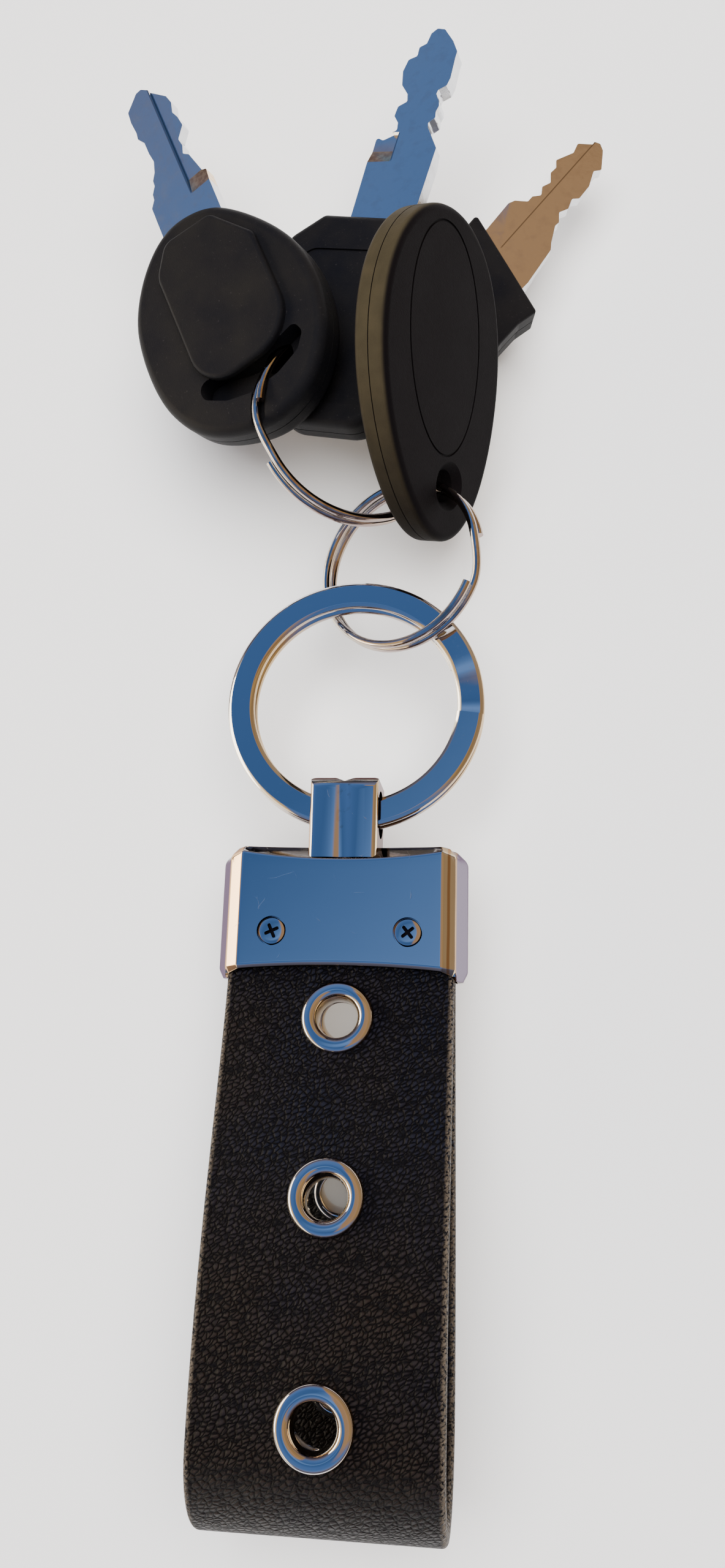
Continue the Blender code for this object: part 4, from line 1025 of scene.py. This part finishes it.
right_place = facing(Vector((0.16, -0.06, 0.98)), Vector((0.61, 0.79, 0.0)), ring_place(58))
right_place = right_place @ Matrix.Translation(Vector((0.55, 8.2, -1.4)) * mm)
right_top = 13.0 * mm
right_outline = shaped(
    [(-4.5, -13.0), (4.0, -12.7), (7.4, -7.1), (8.1, -3.5), (7.6, -0.9), (7.3, 3.0), (7.4, 6.4), (8.1, 9.3),
     (-6.4, 15.3), (-6.2, 9.0), (-5.7, 6.5), (-7.5, 0.0), (-7.5, -5.85)],
    [3.0, 3.0, 1.5, 1.5, 2.5, 3.0, 2.5, 0.4, 0.45, 1.5, 2.2, 1.5, 2.6], 6)
key_head("right", right_outline, 4.2 * mm, 0.9 * mm, right_place, radians(58),
         [disc_outline(2.0 * mm, 32, (-0.55 * mm, -8.2 * mm))], right_top)


# Blades
# Milled nickel-silver blades: cut edges on both sides, a groove down each face,
# and fine milling marks across the metal.
def milled_metal(word, seat, step, foot, side, wall, reach):
    """Fine milling marks, a dark line where the cutter stopped, and a brassy rounded end to the cut."""
    nickel = (0.72, 0.73, 0.75)
    metal = Finish(f"{word}_nickel_silver", nickel, 0.2, 1.0)
    across, along = along_axis(metal, seat, 0), along_axis(metal, seat, 1)
    mark = metal.noise(1500.0, 3.0)
    tarnish = metal.ramp(metal.noise(700.0, 4.0), (0.50, 0.0), (0.68, 1.0))
    metal.set("Roughness", 0.07 + 0.10 * metal.noise(500.0, 3.0) + 0.06 * tarnish)
    metal.bump(mark + 0.5 * metal.noise(5000.0, 1.0), 0.012 * mm, 0.5)
    colour = metal.blend(0.12 * tarnish, nickel, (0.42, 0.37, 0.33))
    from_foot = metal.ramp(along - foot, (0.0, 0.0), (0.3, 1.0))
    from_foot = from_foot * metal.ramp(reach - along, (0.0, 0.0), (0.3, 1.0))
    beside = side * (across - step)
    line = metal.ramp(beside + 0.2, (0.0, 0.0), (0.08, 1.0), (0.24, 1.0), (0.34, 0.0))
    colour = metal.blend(0.62 * line * from_foot, colour, (0.10, 0.085, 0.08))
    end = metal.ramp((along - foot) * 0.25, (0.0, 0.0), (0.02, 1.0), (wall * 0.25, 1.0),
                     (wall * 0.25 + 0.02, 0.0))
    inside = metal.ramp(beside, (0.05, 0.0), (0.15, 1.0))
    brass = metal.blend(metal.ramp(mark, (0.4, 0.0), (0.6, 1.0)), (1.0, 0.74, 0.42), (0.72, 0.48, 0.28))
    metal.set("Base Color", metal.blend(end * inside, colour, brass))
    return metal


# Each blade's right and left edge as pairs of height above the head and place across, in mm, and its cut:
# where the cutter stopped, where the cut runs out, its foot, the length of its rounded end, and its far end.
left_blade = (
    [(0.5, -4.35), (7.0, -4.25), (7.9, -3.5), (8.7, -3.4), (9.6, -2.7), (10.4, -2.65), (11.3, -2.0),
     (12.8, -1.5), (14.4, -1.7), (16.2, -1.7), (17.4, -2.35), (18.4, -2.2), (20.3, -2.35), (22.0, -2.2),
     (23.6, -0.1)],
    [(-0.4, 4.4), (6.8, 4.5), (7.1, 3.9), (10.5, 3.1), (11.2, 2.4), (12.3, 2.8), (13.5, 2.6), (14.9, 3.9),
     (16.5, 3.7), (17.6, 3.3), (19.0, 3.7), (20.4, 3.4), (22.8, 1.5), (23.6, 0.7)],
    (1.6, 6.0, 4.7, 2.5, 40.0))
middle_blade = (
    [(1.6, -4.4), (12.6, -4.6), (12.9, -4.4), (12.5, -3.6), (13.5, -1.7), (14.6, -1.9), (15.6, -2.7),
     (17.0, -2.6), (17.7, -1.5), (18.8, -1.8), (20.2, -3.0), (22.3, -3.5), (24.0, -3.2), (24.5, -2.1),
     (25.8, -2.2), (26.3, -1.3), (27.8, -1.1), (28.5, -0.4)],
    [(1.6, 4.4), (10.7, 4.6), (13.7, 2.6), (14.4, 2.4), (15.1, 3.2), (16.0, 3.0), (16.8, 3.2), (17.5, 3.0),
     (18.6, 2.3), (19.2, 2.4), (19.8, 3.4), (20.9, 3.6), (23.9, 3.4), (24.8, 3.4), (26.4, 2.4), (28.3, 0.7)],
    (-1.3, -6.0, 8.9, 1.9, 13.2))
right_blade = (
    [(1.2, -4.5), (7.3, -4.7), (8.2, -4.3), (9.2, -2.9), (10.2, -2.9), (11.1, -2.1), (12.2, -2.8),
     (13.4, -2.3), (14.6, -3.2), (15.7, -3.1), (16.6, -3.8), (19.0, -2.7), (20.5, -3.1), (21.7, -1.5)],
    [(-0.6, 4.5), (5.1, 3.9), (6.0, 3.3), (8.3, 2.2), (9.0, 2.3), (10.2, 1.4), (11.4, 2.0), (12.9, 1.5),
     (13.6, 2.2), (15.9, 2.1), (18.1, 1.2), (18.9, 1.9), (21.4, 0.3), (22.0, -0.6)],
    (-1.35, -6.0, 1.0, 0.05, 40.0))
blade_half = 1.0 * mm
for word, (near, far, milled), top, place in (("left", left_blade, left_top, left_place),
                                              ("middle", middle_blade, middle_top, middle_place),
                                              ("right", right_blade, right_top, right_place)):
    edge_points = [(-3.2, -11.0), (-3.2, -2.6), (-4.4, -2.6)] + [(across, along) for along, across in near]
    edge_points += [(across, along) for along, across in reversed(far)]
    edge_points += [(4.4, -2.6), (3.2, -2.6), (3.2, -11.0)]
    edge_points = points_mm(edge_points)
    radii = [0.0, 0.0, 0.0] + [0.3 * mm] * (len(edge_points) - 6) + [0.0, 0.0, 0.0]
    blade_seat = place @ Matrix.Translation((0, top, 0))
    step_x, open_x, foot, wall, reach = milled
    open_side = 1.0 if open_x > step_x else -1.0
    blade_metal = milled_metal(word, blade_seat, step_x, foot, open_side, wall, reach)
    blank = prism(round_corners(edge_points, radii, 3), -blade_half, blade_half, blade_seat)
    blade = show(f"{word}_milled_blade", mesh_of("blade", blank), blade_metal)
    # The cutter has milled a long shallow step along one side of each face.
    low_x, high_x = sorted((step_x * mm, open_x * mm))
    for turn in (0, 180):
        trench = points_mm([(foot, 1.0), (foot + wall, 0.45), (reach, 0.45), (reach, 2.0), (foot, 2.0)])
        carve(blade, prism(trench, low_x, high_x,
                           blade_seat @ Matrix.Rotation(radians(turn), 4, "Y") @ sideways))
    round_edges(blade, 0.18 * mm, 2, 40)
    dress(blade, blade_metal, 30)
    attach(blade, f"{word}_key")
    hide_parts(f"{word}_key_blade")
